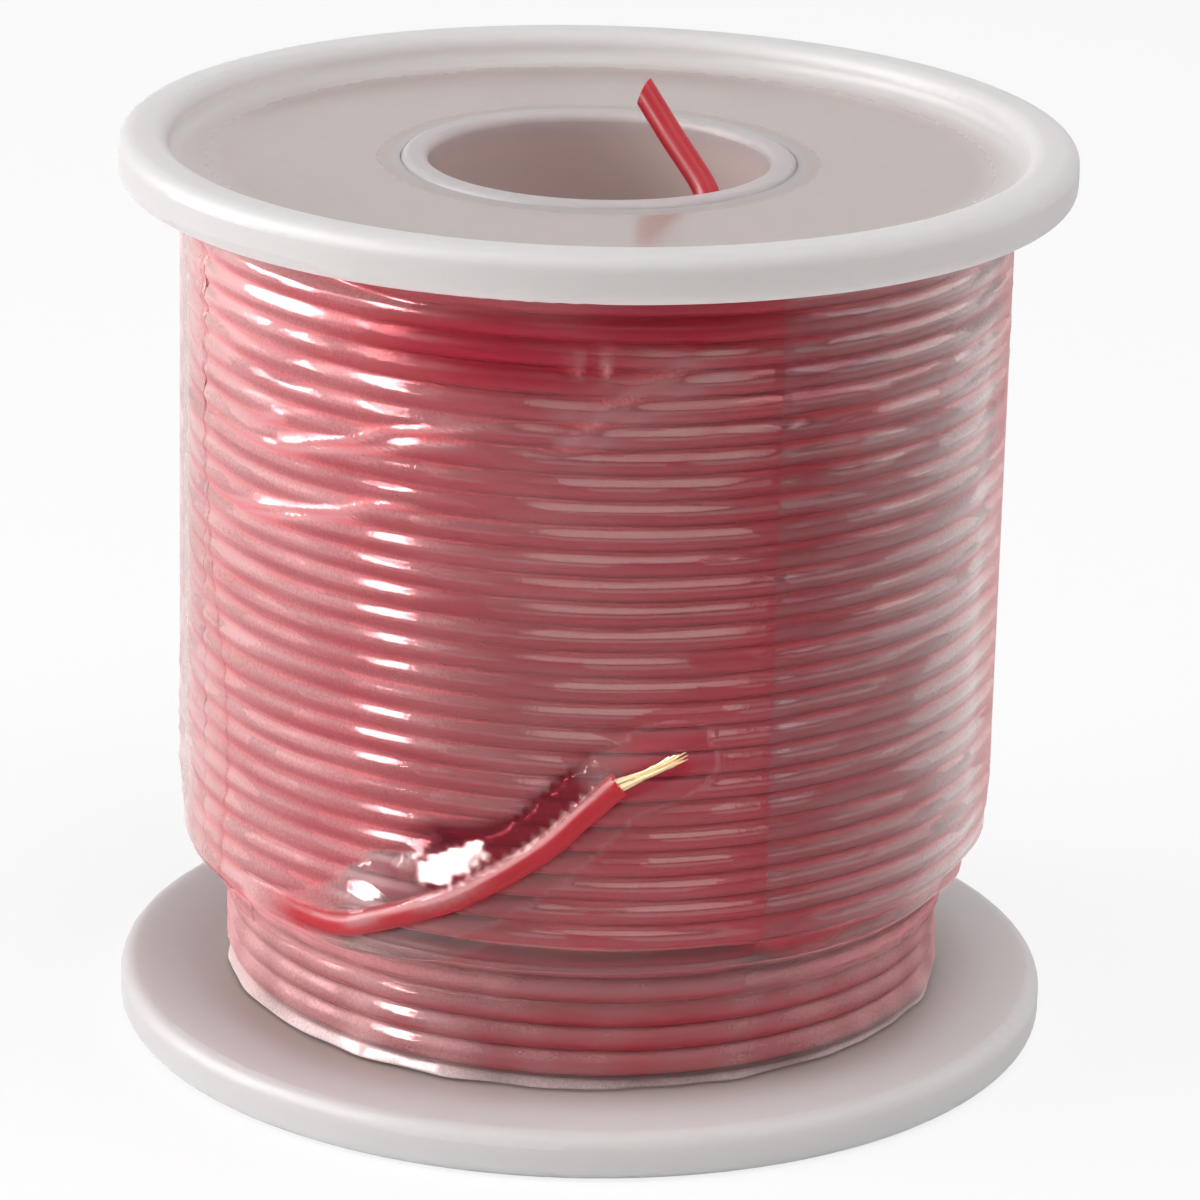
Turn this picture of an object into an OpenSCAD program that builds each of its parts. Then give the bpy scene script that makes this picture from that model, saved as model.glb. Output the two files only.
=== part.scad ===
// Hook-up wire on a small plastic spool, held by stretch film.
// The spool stands on its bottom rim. Z runs along the bore.

/* [Spool] */
// Outside diameter of both flanges
flange_d = 70; // [66:1:90]
// Height of the spool over both rims
spool_h = 68; // [60:1:90]
// Thickness of a flange at its raised rim
rim_t = 3.6; // [2.8:0.1:5]
// Width of the raised rim
rim_w = 3.6; // [2.8:0.1:5]
// Rounding of the rim's edges
rim_edge_r = 1.1; // [0.4:0.1:1.3]
// Thickness of the flange web inside the rim
web_t = 1.5; // [1:0.1:2]
// Fillet from the web up to the rim
web_fillet_r = 1; // [0.3:0.1:1.2]

/* [Barrel] */
// Bore for a mandrel or a rod
bore_d = 24.5; // [20:0.1:27]
// Thickness of the barrel's wall, which the wire is wound on
barrel_wall = 3.05; // [2.8:0.05:4]
// How far the spigots that carry the flanges are set in from the barrel
spigot_step = 0.8; // [0.5:0.05:1]
// How far the mouths at the ends of the bore are set out from it
mouth_step = 0.25; // [0.2:0.05:0.4]
// Depth of each mouth, from the barrel's end
mouth_l = 8; // [7.5:0.5:12]
// How far the barrel's lip stands above the web
lip_h = 0.3; // [0:0.1:1]
// Rounding of the lip's edges
lip_edge_r = 0.6; // [0.2:0.1:0.7]
// Gap all round between spigot and flange
spigot_gap = 0.05; // [0.02:0.01:0.2]
// Diameter of the hole that the wire's start passes through
start_hole_d = 2.6; // [2.3:0.1:3]

/* [Wire] */
// Diameter over the insulation
wire_d = 1.85; // [1.5:0.05:2.1]
// Diameter of the stranded conductor
conductor_d = 0.95; // [0.7:0.05:1]
// Diameter of one strand
strand_d = 0.25; // [0.15:0.01:0.3]
// Strands that fan out of the finish end
strand_count = 10; // [4:1:12]
// Length of the longest bare strand
strand_l = 5.5; // [4:0.5:6]
// Layers of turns from the barrel out
layers = 9; // [6:1:9]
// Layers that stop short of the bottom flange
short_layers = 2; // [1:1:3]
// Rise from one layer to the next
layer_rise = 1.6; // [1.4:0.05:1.65]
// Height above the bottom flange where the short layers stop
short_stop_h = 10.4; // [9.5:0.1:14]
// Turns in the outer layer
outer_turns = 22; // [12:1:24]
// Turns that show under the short layers
lower_turns = 4; // [1:1:4]
// Gap between neighbouring turns
turn_gap = 0.45; // [0.42:0.01:0.8]

/* [Film] */
// Thickness of the film's plies together
film_t = 0.15; // [0.1:0.01:0.3]
// Gap between the film and what it covers
film_gap = 0.05; // [0.02:0.01:0.1]
// Radius of the film's turned-in lower hem
hem_r = 2.9; // [2.3:0.1:3]

/* [Hidden] */
$fn = 96;
// A cut reaches this far past the face it leaves
past = 1;

// The spool's levels, from its base up
floor_z = rim_t;
ceiling_z = spool_h - rim_t;
web_set = rim_t - web_t;
barrel_bottom_z = web_set - lip_h;
barrel_top_z = spool_h - barrel_bottom_z;

// The barrel's radii
bore_r = bore_d / 2;
barrel_r = bore_r + barrel_wall;
spigot_r = barrel_r - spigot_step;
mouth_r = bore_r + mouth_step;

// The winding
wire_r = wire_d / 2;
winding_r = barrel_r + wire_d + (layers - 1) * layer_rise;
lower_r = winding_r - short_layers * layer_rise;
stop_z = floor_z + short_stop_h;
// Gap above and below the turns, and between them and the layers that they lie on
end_gap = 0.15;
core_gap = 0.3;

// The film
film_in_r = winding_r + film_gap;
// The hem starts a little below the last turn of the outer layer
hem_drop = 0.7;
hem_top_z = stop_z - hem_drop;
skirt_gap = 0.3;
skirt_flare = 0.6;
skirt_flare_h = 1.2;

// Turns of the outer layer run down as they run round, and the finish end leaves the lowest one
finish_az = -145;
outer_bottom_z = stop_z + wire_r;
outer_top_z = ceiling_z - wire_r - end_gap;
turn_pitch = (outer_top_z - outer_bottom_z) / outer_turns;
turn_d = min(wire_d, turn_pitch - turn_gap);
outer_turn_r = winding_r - turn_d / 2;

// The lower turns fill the height that the short layers leave, less a gap at each end
lower_h = short_stop_h - 2 * end_gap;
lower_turn_d = min(wire_d, (lower_h - lower_turns * turn_gap) / (lower_turns + 1));
lower_pitch = (lower_h - lower_turn_d) / lower_turns;
lower_turn_r = lower_r - lower_turn_d / 2;
lower_top_z = stop_z - end_gap - lower_turn_d / 2;
SIDES = 6;
STEPS = 24;

// The insulation of a tail is a tube round its conductor
conductor_gap = 0.03;
TAIL_SIDES = 8;
TAIL_STEPS = 3;

// The start of the wire leaves the first layer through the barrel's wall and stands up out of the bore
start_az = -50;
start_depth = 2.8;
start_z = ceiling_z - start_depth;
start_turn_in = 0.3;
// A place in the bore: two shares of the mouth's radius, and a height over the start hole in wire diameters
function in_bore(x, y, h) = [x * mouth_r, y * mouth_r, start_z + h * wire_d];
START_STOPS = [
    for (r = [barrel_r, mouth_r - start_turn_in])
        [r * cos(start_az), r * sin(start_az), start_z],
    in_bore(0.624, -0.592, 0.65),
    in_bore(0.624, -0.448, 1.84),
    in_bore(0.4, -0.24, 3.9),
    in_bore(0.136, -0.016, 6.38)
];
// The start end is cut off at a slant: a point on the cut, and the way that it faces
start_cut_at = in_bore(0.256, -0.112, 5.4);
start_cut_tilt = -70;
start_cut_az = -20;
start_cut_reach = 5 * wire_d;

// Stops of the finish end: azimuth, height over the lowest turn in wire diameters, and how far it has
// climbed onto the outer layer
FINISH_STOPS = [
    [finish_az, 0, 0],
    [-135, 0, 0.1],
    [-125, 0.27, 0.65],
    [-119, 0.87, 0.98],
    [-112, 1.73, 1],
    [-105, 2.7, 1],
    [-95.5, 4.65, 1],
    [-90, 6.2, 1],
    [-85.5, 7.45, 1]
];
finish_gap = 0.05;
finish_climb = wire_d + finish_gap;
// The strands lean this far off the insulation's way, fan out to either side and dip to the winding
strand_lean = 20;
strand_fan = 8;
strand_dip = 0.5;
// The shortest strand falls short by this share, and the lengths are shuffled by an angle from strand to strand
strand_trim = 0.35;
strand_shuffle = 137;
// The film stands this far off the finish end, and off its strands
blister_gap = 0.18;
strand_cover_gap = 0.6;

function unit(v) = v / norm(v);
function polar(r, az, z) = [r * cos(az), r * sin(az), z];

// A smooth curve through the stops
function blend(a, b, c, d, t) =
    0.5 * (2 * b + (c - a) * t + (2 * a - 5 * b + 4 * c - d) * pow(t, 2)
        + (3 * b - a - 3 * c + d) * pow(t, 3));
function smooth(p, steps) = let (n = len(p)) [
    for (i = [0 : n - 2], k = [0 : steps - 1])
        blend(p[max(i - 1, 0)], p[i], p[i + 1], p[min(i + 2, n - 1)], k / steps),
    p[n - 1]
];

// Directions along a route
function headings(p) = let (n = len(p)) [
    for (i = [0 : n - 1]) unit(p[min(i + 1, n - 1)] - p[max(i - 1, 0)])
];

// One closed tube along the points, whose rings start on the side that up names
module tube(p, r, sides, up) {
    t = headings(p);
    n = len(p);
    rings = [
        for (i = [0 : n - 1])
            let (u = unit(up[i] - (up[i] * t[i]) * t[i]), v = cross(t[i], u))
                for (k = [0 : sides - 1])
                    p[i] + r * (u * cos(k * 360 / sides) + v * sin(k * 360 / sides))
    ];
    walls = [
        for (i = [0 : n - 2], k = [0 : sides - 1])
            let (a = i * sides + k, b = i * sides + (k + 1) % sides)
                for (f = [[a, a + sides, b], [b, a + sides, b + sides]]) f
    ];
    last = (n - 1) * sides;
    ends = [
        for (k = [1 : sides - 2])
            for (f = [[0, k, k + 1], [last, last + k + 1, last + k]]) f
    ];
    polyhedron(points = rings, faces = concat(walls, ends), convexity = 10);
}

// Points of a winding that runs down as it runs round, with straight ends one wire diameter long
function winding_points(r, turns, pitch, top_z, end_az, d) =
    let (
        count = turns * STEPS,
        bend_end_az = end_az - atan2(d, r),
        turn = [
            for (i = [0 : count])
                polar(r, bend_end_az - (count - i) * 360 / STEPS, top_z - pitch * i / STEPS)
        ],
        first = unit(turn[0] - turn[1]),
        final = unit(turn[count] - turn[count - 1])
    )
    concat([turn[0] + first * d], turn, [turn[count] + final * d]);

function outward(p) = [for (q = p) [q.x, q.y, 0]];

// Least distance between points more than half a turn apart along the winding, less the wire
function least_gap(p, d) = let (n = len(p)) min([
    for (i = [0 : n - 1 - STEPS / 2])
        for (j = [i + STEPS / 2 : min(i + 3 * STEPS / 2, n - 1)])
            norm(p[i] - p[j]) - d
]);

OUTER_POINTS = winding_points(outer_turn_r, outer_turns, turn_pitch, outer_top_z, finish_az, turn_d);
LOWER_POINTS = winding_points(lower_turn_r, lower_turns, lower_pitch, lower_top_z, finish_az, lower_turn_d);
echo(outer_layer_least_gap = least_gap(OUTER_POINTS, turn_d));
echo(lower_turns_least_gap = least_gap(LOWER_POINTS, lower_turn_d));

START_ROUTE = smooth(START_STOPS, TAIL_STEPS);
FINISH_ROUTE = smooth([
    for (s = FINISH_STOPS)
        polar(winding_r - wire_r + s[2] * finish_climb, s[0], outer_bottom_z + s[1] * wire_d)
], TAIL_STEPS);
FINISH_END = FINISH_ROUTE[len(FINISH_ROUTE) - 1];
// The film stands off the finish end from where that begins to climb
BLISTER_ROUTE = [for (i = [1 : len(FINISH_ROUTE) - 1]) FINISH_ROUTE[i]];
FINISH_WAY = headings(FINISH_ROUTE)[len(FINISH_ROUTE) - 1];
FINISH_OUT = unit([FINISH_END.x, FINISH_END.y, 0]);
FINISH_SIDE = cross(FINISH_OUT, FINISH_WAY);
// A heading at the finish end, turned by an angle along the winding's surface
function leaning(angle) = FINISH_WAY * cos(angle) - FINISH_SIDE * sin(angle);
STRAND_ROUTE = [
    FINISH_END - FINISH_WAY * wire_r,
    FINISH_END + leaning(strand_lean) * strand_l / 2,
    FINISH_END + leaning(strand_lean) * (strand_l + strand_cover_gap) - FINISH_OUT * strand_dip
];

// Half section of a flange, inner face down
module flange_section() {
    rim_in_r = flange_d / 2 - rim_w;
    hole_r = spigot_r + spigot_gap;
    translate([hole_r, 0])
        square([rim_in_r + rim_w / 2 - hole_r, web_t]);
    translate([rim_in_r, 0]) {
        translate([0, rim_edge_r])
            square([rim_w, rim_t - 2 * rim_edge_r]);
        square([rim_w - rim_edge_r, rim_edge_r]);
        translate([rim_edge_r, rim_t - rim_edge_r])
            square([rim_w - 2 * rim_edge_r, rim_edge_r]);
        translate([rim_w - rim_edge_r, rim_edge_r])
            circle(rim_edge_r);
        for (x = [rim_edge_r, rim_w - rim_edge_r])
            translate([x, rim_t - rim_edge_r])
                circle(rim_edge_r);
    }
    translate([rim_in_r - web_fillet_r, web_t])
        difference() {
            square(web_fillet_r);
            translate([0, web_fillet_r])
                circle(web_fillet_r);
        }
}

module top_flange() {
    color([0.86, 0.84, 0.83])
        translate([0, 0, ceiling_z])
            rotate_extrude()
                flange_section();
}

module bottom_flange() {
    color([0.86, 0.84, 0.83])
        translate([0, 0, floor_z])
            mirror([0, 0, 1])
                rotate_extrude()
                    flange_section();
}

// Half section of the barrel: a thick tube, a spigot at each end and rounded lips
module barrel_section() {
    lip_w = spigot_r - mouth_r;
    translate([bore_r, barrel_bottom_z + mouth_l])
        square([barrel_wall, barrel_top_z - barrel_bottom_z - 2 * mouth_l]);
    translate([mouth_r, floor_z])
        square([barrel_r - mouth_r, ceiling_z - floor_z]);
    translate([mouth_r, barrel_bottom_z + lip_edge_r])
        square([lip_w, barrel_top_z - barrel_bottom_z - 2 * lip_edge_r]);
    translate([mouth_r + lip_edge_r, barrel_bottom_z])
        square([lip_w - 2 * lip_edge_r, barrel_top_z - barrel_bottom_z]);
    for (x = [lip_edge_r, lip_w - lip_edge_r], z = [barrel_bottom_z + lip_edge_r, barrel_top_z - lip_edge_r])
        translate([mouth_r + x, z])
            circle(lip_edge_r);
}

module barrel() {
    color([0.9, 0.88, 0.87])
        difference() {
            rotate_extrude()
                barrel_section();
            translate([0, 0, start_z])
                rotate([0, 0, start_az])
                    rotate([0, 90, 0])
                        cylinder(d = start_hole_d, h = barrel_r + past);
        }
}

// The layers under the ones that show, as one stepped sleeve
module wire_inner_layers() {
    color([0.62, 0.1, 0.14])
        rotate_extrude() {
            translate([barrel_r, floor_z])
                square([lower_r - lower_turn_d - core_gap - barrel_r, ceiling_z - floor_z]);
            translate([barrel_r, stop_z])
                square([winding_r - turn_d - core_gap - barrel_r, ceiling_z - stop_z]);
        }
}

module wire_outer_layer() {
    color([0.78, 0.14, 0.2])
        tube(OUTER_POINTS, turn_d / 2, SIDES, outward(OUTER_POINTS));
}

module wire_lower_turns() {
    color([0.78, 0.14, 0.2])
        tube(LOWER_POINTS, lower_turn_d / 2, SIDES, outward(LOWER_POINTS));
}

// Tube of insulation, or the conductor in it, along a tail's route
module tail_insulation(route, up) {
    difference() {
        tube(route, wire_r, TAIL_SIDES, up);
        tube(stretched(route), conductor_d / 2, TAIL_SIDES, up);
    }
}

// The same route, a little longer at both ends so that a cut along it comes out
function stretched(p) = let (n = len(p)) concat(
    [p[0] + unit(p[0] - p[1]) * past],
    [for (i = [1 : n - 2]) p[i]],
    [p[n - 1] + unit(p[n - 1] - p[n - 2]) * past]
);

// What is cut off the start end
module start_cut() {
    translate(start_cut_at)
        rotate([0, start_cut_tilt, start_cut_az])
            translate([-start_cut_reach, -start_cut_reach, 0])
                cube(2 * start_cut_reach);
}

START_UP = [for (q = START_ROUTE) [cos(start_az + 90), sin(start_az + 90), 0]];

module start_tail_insulation() {
    color([0.77, 0.12, 0.2])
        difference() {
            tail_insulation(START_ROUTE, START_UP);
            start_cut();
        }
}

module start_tail_conductor() {
    color([0.85, 0.62, 0.38])
        difference() {
            tube(START_ROUTE, conductor_d / 2 - conductor_gap, TAIL_SIDES, START_UP);
            start_cut();
        }
}

module finish_tail_insulation() {
    color([0.77, 0.12, 0.2])
        tail_insulation(FINISH_ROUTE, outward(FINISH_ROUTE));
}

// The conductor's strands: a bundle in the insulation, fanned out past its end
module finish_tail_strands() {
    color([0.88, 0.7, 0.42]) {
        tube(FINISH_ROUTE, conductor_d / 2 - conductor_gap, TAIL_SIDES, outward(FINISH_ROUTE));
        for (i = [0 : strand_count - 1])
            strand(i);
    }
}

module strand(i) {
    share = strand_count > 1 ? 2 * i / (strand_count - 1) - 1 : 0;
    length = strand_l * (1 - strand_trim * abs(sin(strand_shuffle * i)));
    spread = (conductor_d - strand_d) / 2;
    from = FINISH_END - FINISH_WAY * strand_d + FINISH_SIDE * share * spread;
    way = leaning(strand_lean + strand_fan * share);
    points = [from, from + way * length / 2, from + way * length - FINISH_OUT * strand_dip];
    tube(points, strand_d / 2, SIDES, [for (p = points) FINISH_OUT]);
}

// Half section of the film's upper part: a wall round the outer layer and a turned-in hem
module film_wrap_section() {
    outer_r = film_in_r + film_t;
    translate([film_in_r, hem_top_z])
        square([film_t, ceiling_z - film_gap - hem_top_z]);
    translate([outer_r - hem_r, hem_top_z])
        intersection() {
            difference() {
                circle(hem_r);
                circle(hem_r - film_t);
            }
            translate([0, -hem_r])
                square(hem_r);
        }
}

module blister(route, r) {
    tube(route, r, TAIL_SIDES, outward(route));
}

// The film stands out over the finish end in a long blister
module film_wrap() {
    color([0.93, 0.9, 0.9, 0.35])
        difference() {
            union() {
                rotate_extrude()
                    film_wrap_section();
                blister(stretched(BLISTER_ROUTE), wire_r + blister_gap + film_t);
                blister(stretched(STRAND_ROUTE), conductor_d / 2 + strand_cover_gap + film_t);
            }
            translate([0, 0, hem_top_z])
                cylinder(r = film_in_r, h = ceiling_z - hem_top_z);
            blister(BLISTER_ROUTE, wire_r + blister_gap);
            blister(STRAND_ROUTE, conductor_d / 2 + strand_cover_gap);
        }
}

// The film's lower part, round the turns below the short layers, flared at the bottom flange
module film_skirt() {
    inner_r = lower_r + film_gap;
    flare_z = floor_z + skirt_flare_h;
    color([0.93, 0.9, 0.9, 0.35])
        rotate_extrude()
            polygon([
                [inner_r, stop_z - skirt_gap],
                [inner_r, flare_z],
                [inner_r + skirt_flare, floor_z + skirt_gap],
                [inner_r + skirt_flare + film_t, floor_z + skirt_gap],
                [inner_r + film_t, flare_z],
                [inner_r + film_t, stop_z - skirt_gap]
            ]);
}

barrel();
top_flange();
bottom_flange();
wire_inner_layers();
wire_outer_layer();
wire_lower_turns();
start_tail_insulation();
start_tail_conductor();
finish_tail_insulation();
finish_tail_strands();
film_wrap();
film_skirt();
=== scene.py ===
import math

import bmesh
import bpy
import numpy as np
from mathutils import Matrix, Vector, noise
from mathutils.bvhtree import BVHTree


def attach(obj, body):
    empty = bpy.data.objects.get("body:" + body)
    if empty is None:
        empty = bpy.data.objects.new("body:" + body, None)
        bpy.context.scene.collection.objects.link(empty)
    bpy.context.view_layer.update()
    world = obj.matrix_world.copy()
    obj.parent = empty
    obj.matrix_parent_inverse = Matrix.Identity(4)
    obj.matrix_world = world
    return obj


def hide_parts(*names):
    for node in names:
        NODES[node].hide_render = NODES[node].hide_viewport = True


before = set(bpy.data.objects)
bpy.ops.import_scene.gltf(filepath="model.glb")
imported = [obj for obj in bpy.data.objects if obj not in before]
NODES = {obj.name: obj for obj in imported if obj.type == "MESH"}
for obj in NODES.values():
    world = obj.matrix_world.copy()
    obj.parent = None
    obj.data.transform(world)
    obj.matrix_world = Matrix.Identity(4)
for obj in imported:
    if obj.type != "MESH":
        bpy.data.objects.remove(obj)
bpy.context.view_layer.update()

MM = 0.001


# ---- Camera ----
# A long lens about 40 cm from the spool, a little above it, looking down on the top flange.
# No free cord leaves the object: both wire ends are short and held by the spool or by the film.
CAMERA_BACK, CAMERA_UP = 410.01 * MM, 170.13 * MM
CAMERA_PITCH, CAMERA_YAW, CAMERA_ROLL = -0.3252, 0.0021, 0.0244

camera_data = bpy.data.cameras.new("camera")
camera_data.sensor_width = 36
camera_data.lens = 173.28
camera = bpy.data.objects.new("camera", camera_data)
bpy.context.scene.collection.objects.link(camera)
camera.matrix_world = (
    Matrix.Translation((0, -CAMERA_BACK, CAMERA_UP))
    @ Matrix.Rotation(-CAMERA_YAW, 4, "Z")
    @ Matrix.Rotation(math.pi / 2 + CAMERA_PITCH, 4, "X")
    @ Matrix.Rotation(CAMERA_ROLL, 4, "Z")
)
bpy.context.scene.camera = camera
bpy.context.scene.view_settings.view_transform = "Standard"


# ---- Studio ----
# A pale table, soft boxes standing to the left as tall strips, and a wide pale panel to the right.
# The table shows the camera and anything glossy its own white, and keeps the spool's shadow.
TABLE_SIZE = 8.0
TABLE_COLOUR = (0.93, 0.93, 0.925)
TABLE_GLOW = 0.8


def material(name):
    """A new material: its node tree's nodes, its links and its Principled shader."""
    mat = bpy.data.materials.new(name)
    mat.use_nodes = True
    nodes = mat.node_tree.nodes
    return mat, nodes, mat.node_tree.links, nodes["Principled BSDF"]


def node(nodes, kind, **settings):
    made = nodes.new(kind)
    for key, value in settings.items():
        setattr(made, key, value)
    return made


def table_material():
    mat, nodes, links, cloth = material("table")
    cloth.inputs["Base Color"].default_value = (*TABLE_COLOUR, 1)
    cloth.inputs["Roughness"].default_value = 0.9
    glow = node(nodes, "ShaderNodeEmission")
    rays = node(nodes, "ShaderNodeLightPath")
    seen = node(nodes, "ShaderNodeMath", operation="MAXIMUM")
    also = node(nodes, "ShaderNodeMath", operation="MAXIMUM")
    share = node(nodes, "ShaderNodeMath", operation="MULTIPLY")
    share.inputs[1].default_value = TABLE_GLOW
    mix = node(nodes, "ShaderNodeMixShader")
    links.new(rays.outputs["Is Camera Ray"], seen.inputs[0])
    links.new(rays.outputs["Is Glossy Ray"], seen.inputs[1])
    links.new(seen.outputs[0], also.inputs[0])
    links.new(rays.outputs["Is Transmission Ray"], also.inputs[1])
    links.new(also.outputs[0], share.inputs[0])
    links.new(share.outputs[0], mix.inputs["Fac"])
    links.new(cloth.outputs[0], mix.inputs[1])
    links.new(glow.outputs[0], mix.inputs[2])
    links.new(mix.outputs[0], nodes["Material Output"].inputs["Surface"])
    return mat


table_mesh = bpy.data.meshes.new("table")
half = TABLE_SIZE / 2
table_mesh.from_pydata([(-half, -half, 0), (half, -half, 0), (half, half, 0), (-half, half, 0)], [], [(0, 1, 2, 3)])
table = bpy.data.objects.new("table", table_mesh)
table_mesh.materials.append(table_material())
bpy.context.scene.collection.objects.link(table)

world = bpy.data.worlds.new("room")
bpy.context.scene.world = world
world.use_nodes = True
world.node_tree.nodes["Background"].inputs["Color"].default_value = (0.96, 0.97, 1, 1)
world.node_tree.nodes["Background"].inputs["Strength"].default_value = 0.23

SPOOL_MIDDLE = Vector((0, 0, 34 * MM))


def softbox(name, bearing, elevation, distance, width, height, watts, only_mirrored=False, colour=(1, 1, 1), lean=0):
    """A rectangular lamp that faces the spool. The bearing runs to the right from the camera's side, the
    lean is how far the lamp's top turns to the right, both in degrees."""
    lamp = bpy.data.lights.new(name, "AREA")
    lamp.shape = "RECTANGLE"
    lamp.size, lamp.size_y, lamp.energy = width, height, watts
    lamp.color = colour
    box = bpy.data.objects.new(name, lamp)
    turn, rise = math.radians(bearing), math.radians(elevation)
    way = Vector((math.sin(turn) * math.cos(rise), -math.cos(turn) * math.cos(rise), math.sin(rise)))
    box.matrix_world = Matrix.Translation(SPOOL_MIDDLE + way * distance) @ way.to_track_quat("Z", "Y").to_matrix().to_4x4()
    box.matrix_world = box.matrix_world @ Matrix.Rotation(math.radians(-lean), 4, "Z")
    box.visible_camera = False
    box.visible_diffuse = not only_mirrored
    bpy.context.scene.collection.objects.link(box)


softbox("key_box", -80, 26, 0.9, 0.6, 0.5, 4.1)
softbox("top_box", 50, 70, 0.9, 0.6, 0.6, 4.3)

# Panels and strips that only show in glossy things: bearings and elevations from and to, and brightness
MIRRORED = (
    ("strip_front", (-70, -58.5), (4, 58), 0.6, 48.0, (1, 1, 1), -25),
    ("strip_left", (-96, -83), (0, 46), 0.6, 40.0, (1, 1, 1), -12),
    ("strip_back", (-110, -99.5), (0, 34), 0.6, 34.0, (1, 1, 1), -22),
    ("panel_left", (-128, -42), (0, 60), 0.8, 1.4, (1, 1, 1), 0),
    ("panel_front", (-15, 46), (10, 72), 0.9, 1.8, (1, 0.97, 0.92), 0),
    ("panel_right", (52, 84), (8, 66), 0.9, 2.1, (0.96, 0.9, 1), 0),
    ("panel_far_right", (84, 128), (1, 46), 0.9, 2.4, (1, 0.97, 0.94), 0),
    ("panel_back", (140, 220), (3, 50), 1.0, 0.75, (1, 1, 1), 0),
)
for name, (left, right), (low, high), distance, radiance, tint, lean in MIRRORED:
    width = 2 * distance * math.tan(math.radians(right - left) / 2)
    height = 2 * distance * math.tan(math.radians(high - low) / 2)
    watts = radiance * math.pi * width * height
    softbox(name, (left + right) / 2, (low + high) / 2, distance, width, height, watts, True, tint, lean)


# ---- Spool: two flanges on a barrel ----
# Natural translucent plastic, injection moulded, with a raised bead round each flange.
# The flanges are pressed over the barrel's spigots. Their shapes are the imported solids' own.
# The rim has the plastic's own colour. The webs' colours are painted shade of the winding seen through them.
RIM_COLOUR = (0.7, 0.68, 0.675)
WEB_COLOUR_WITH_PAINTED_SHADE = (0.45, 0.36, 0.33)
FOOT_COLOUR_WITH_PAINTED_SHADE = (0.55, 0.50, 0.46)
LIP_COLOUR = (0.52, 0.465, 0.465)
# Painted light: the bore's wall below the lip, lighter than the lip itself
BORE_PAINTED_GLOW_COLOUR = (0.72, 0.57, 0.54)
WEB_EDGE_R, BARREL_R = 31.4 * MM, 15.3 * MM
MOUTH_TOP_Z = 68 * MM


def group(name, inputs, outputs):
    """A shader node group with named sockets: its tree, its input node and its output node."""
    tree = bpy.data.node_groups.new(name, "ShaderNodeTree")
    for label, kind, value in inputs:
        made = tree.interface.new_socket(label, in_out="INPUT", socket_type=kind)
        if value is not None:
            made.default_value = value
    for label, kind in outputs:
        tree.interface.new_socket(label, in_out="OUTPUT", socket_type=kind)
    return tree, tree.nodes.new("NodeGroupInput"), tree.nodes.new("NodeGroupOutput")


def handling_marks():
    """Fine grain, long shallow scuffs and specks of dust. Heights are in metres."""
    tree, given, out = group(
        "handling_marks",
        [("Vector", "NodeSocketVector", None), ("Grain Scale", "NodeSocketFloat", 900.0), ("Scuff Scale", "NodeSocketFloat", 60.0),
         ("Stretch", "NodeSocketVector", (1.0, 1.0, 1.0)), ("Roughness", "NodeSocketFloat", 0.3), ("Spread", "NodeSocketFloat", 0.1)],
        [("Roughness", "NodeSocketFloat"), ("Height", "NodeSocketFloat"), ("Scuffs", "NodeSocketFloat"), ("Cloud", "NodeSocketFloat")],
    )
    nodes, links = tree.nodes, tree.links
    grain = node(nodes, "ShaderNodeTexNoise")
    grain.inputs["Detail"].default_value = 3
    links.new(given.outputs["Vector"], grain.inputs["Vector"])
    links.new(given.outputs["Grain Scale"], grain.inputs["Scale"])
    drawn = node(nodes, "ShaderNodeVectorMath", operation="MULTIPLY")
    links.new(given.outputs["Vector"], drawn.inputs[0])
    links.new(given.outputs["Stretch"], drawn.inputs[1])
    scuff = node(nodes, "ShaderNodeTexNoise")
    scuff.inputs["Detail"].default_value = 6
    scuff.inputs["Distortion"].default_value = 0.6
    links.new(drawn.outputs[0], scuff.inputs["Vector"])
    links.new(given.outputs["Scuff Scale"], scuff.inputs["Scale"])
    worn = node(nodes, "ShaderNodeMapRange")
    worn.inputs["From Min"].default_value = 0.55
    worn.inputs["From Max"].default_value = 0.75
    links.new(scuff.outputs["Fac"], worn.inputs["Value"])
    cloud = node(nodes, "ShaderNodeTexNoise")
    cloud.inputs["Scale"].default_value = 35
    links.new(given.outputs["Vector"], cloud.inputs["Vector"])
    centred = node(nodes, "ShaderNodeMath", operation="SUBTRACT")
    centred.inputs[1].default_value = 0.5
    links.new(grain.outputs["Fac"], centred.inputs[0])
    both = node(nodes, "ShaderNodeMath", operation="ADD")
    links.new(centred.outputs[0], both.inputs[0])
    links.new(worn.outputs[0], both.inputs[1])
    rough = node(nodes, "ShaderNodeMath", operation="MULTIPLY_ADD")
    links.new(both.outputs[0], rough.inputs[0])
    links.new(given.outputs["Spread"], rough.inputs[1])
    links.new(given.outputs["Roughness"], rough.inputs[2])
    links.new(rough.outputs[0], out.inputs["Roughness"])
    links.new(grain.outputs["Fac"], out.inputs["Height"])
    links.new(worn.outputs[0], out.inputs["Scuffs"])
    links.new(cloud.outputs["Fac"], out.inputs["Cloud"])
    return tree


MARKS = handling_marks()


def ramp_mask(nodes, links, value, low, high):
    """0 below low, 1 above high, smooth between."""
    made = node(nodes, "ShaderNodeMapRange", interpolation_type="SMOOTHSTEP")
    made.inputs["From Min"].default_value = low
    made.inputs["From Max"].default_value = high
    links.new(value, made.inputs["Value"])
    return made.outputs["Result"]


def mixed(nodes, links, share, first, second):
    """A colour between two, each a colour or a socket."""
    made = node(nodes, "ShaderNodeMix", data_type="RGBA")
    links.new(share, made.inputs["Factor"]) if not isinstance(share, float) else setattr(made.inputs["Factor"], "default_value", share)
    for socket, value in ((made.inputs["A"], first), (made.inputs["B"], second)):
        if isinstance(value, tuple):
            socket.default_value = (*value, 1)
        else:
            links.new(value, socket)
    return made.outputs["Result"]


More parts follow.
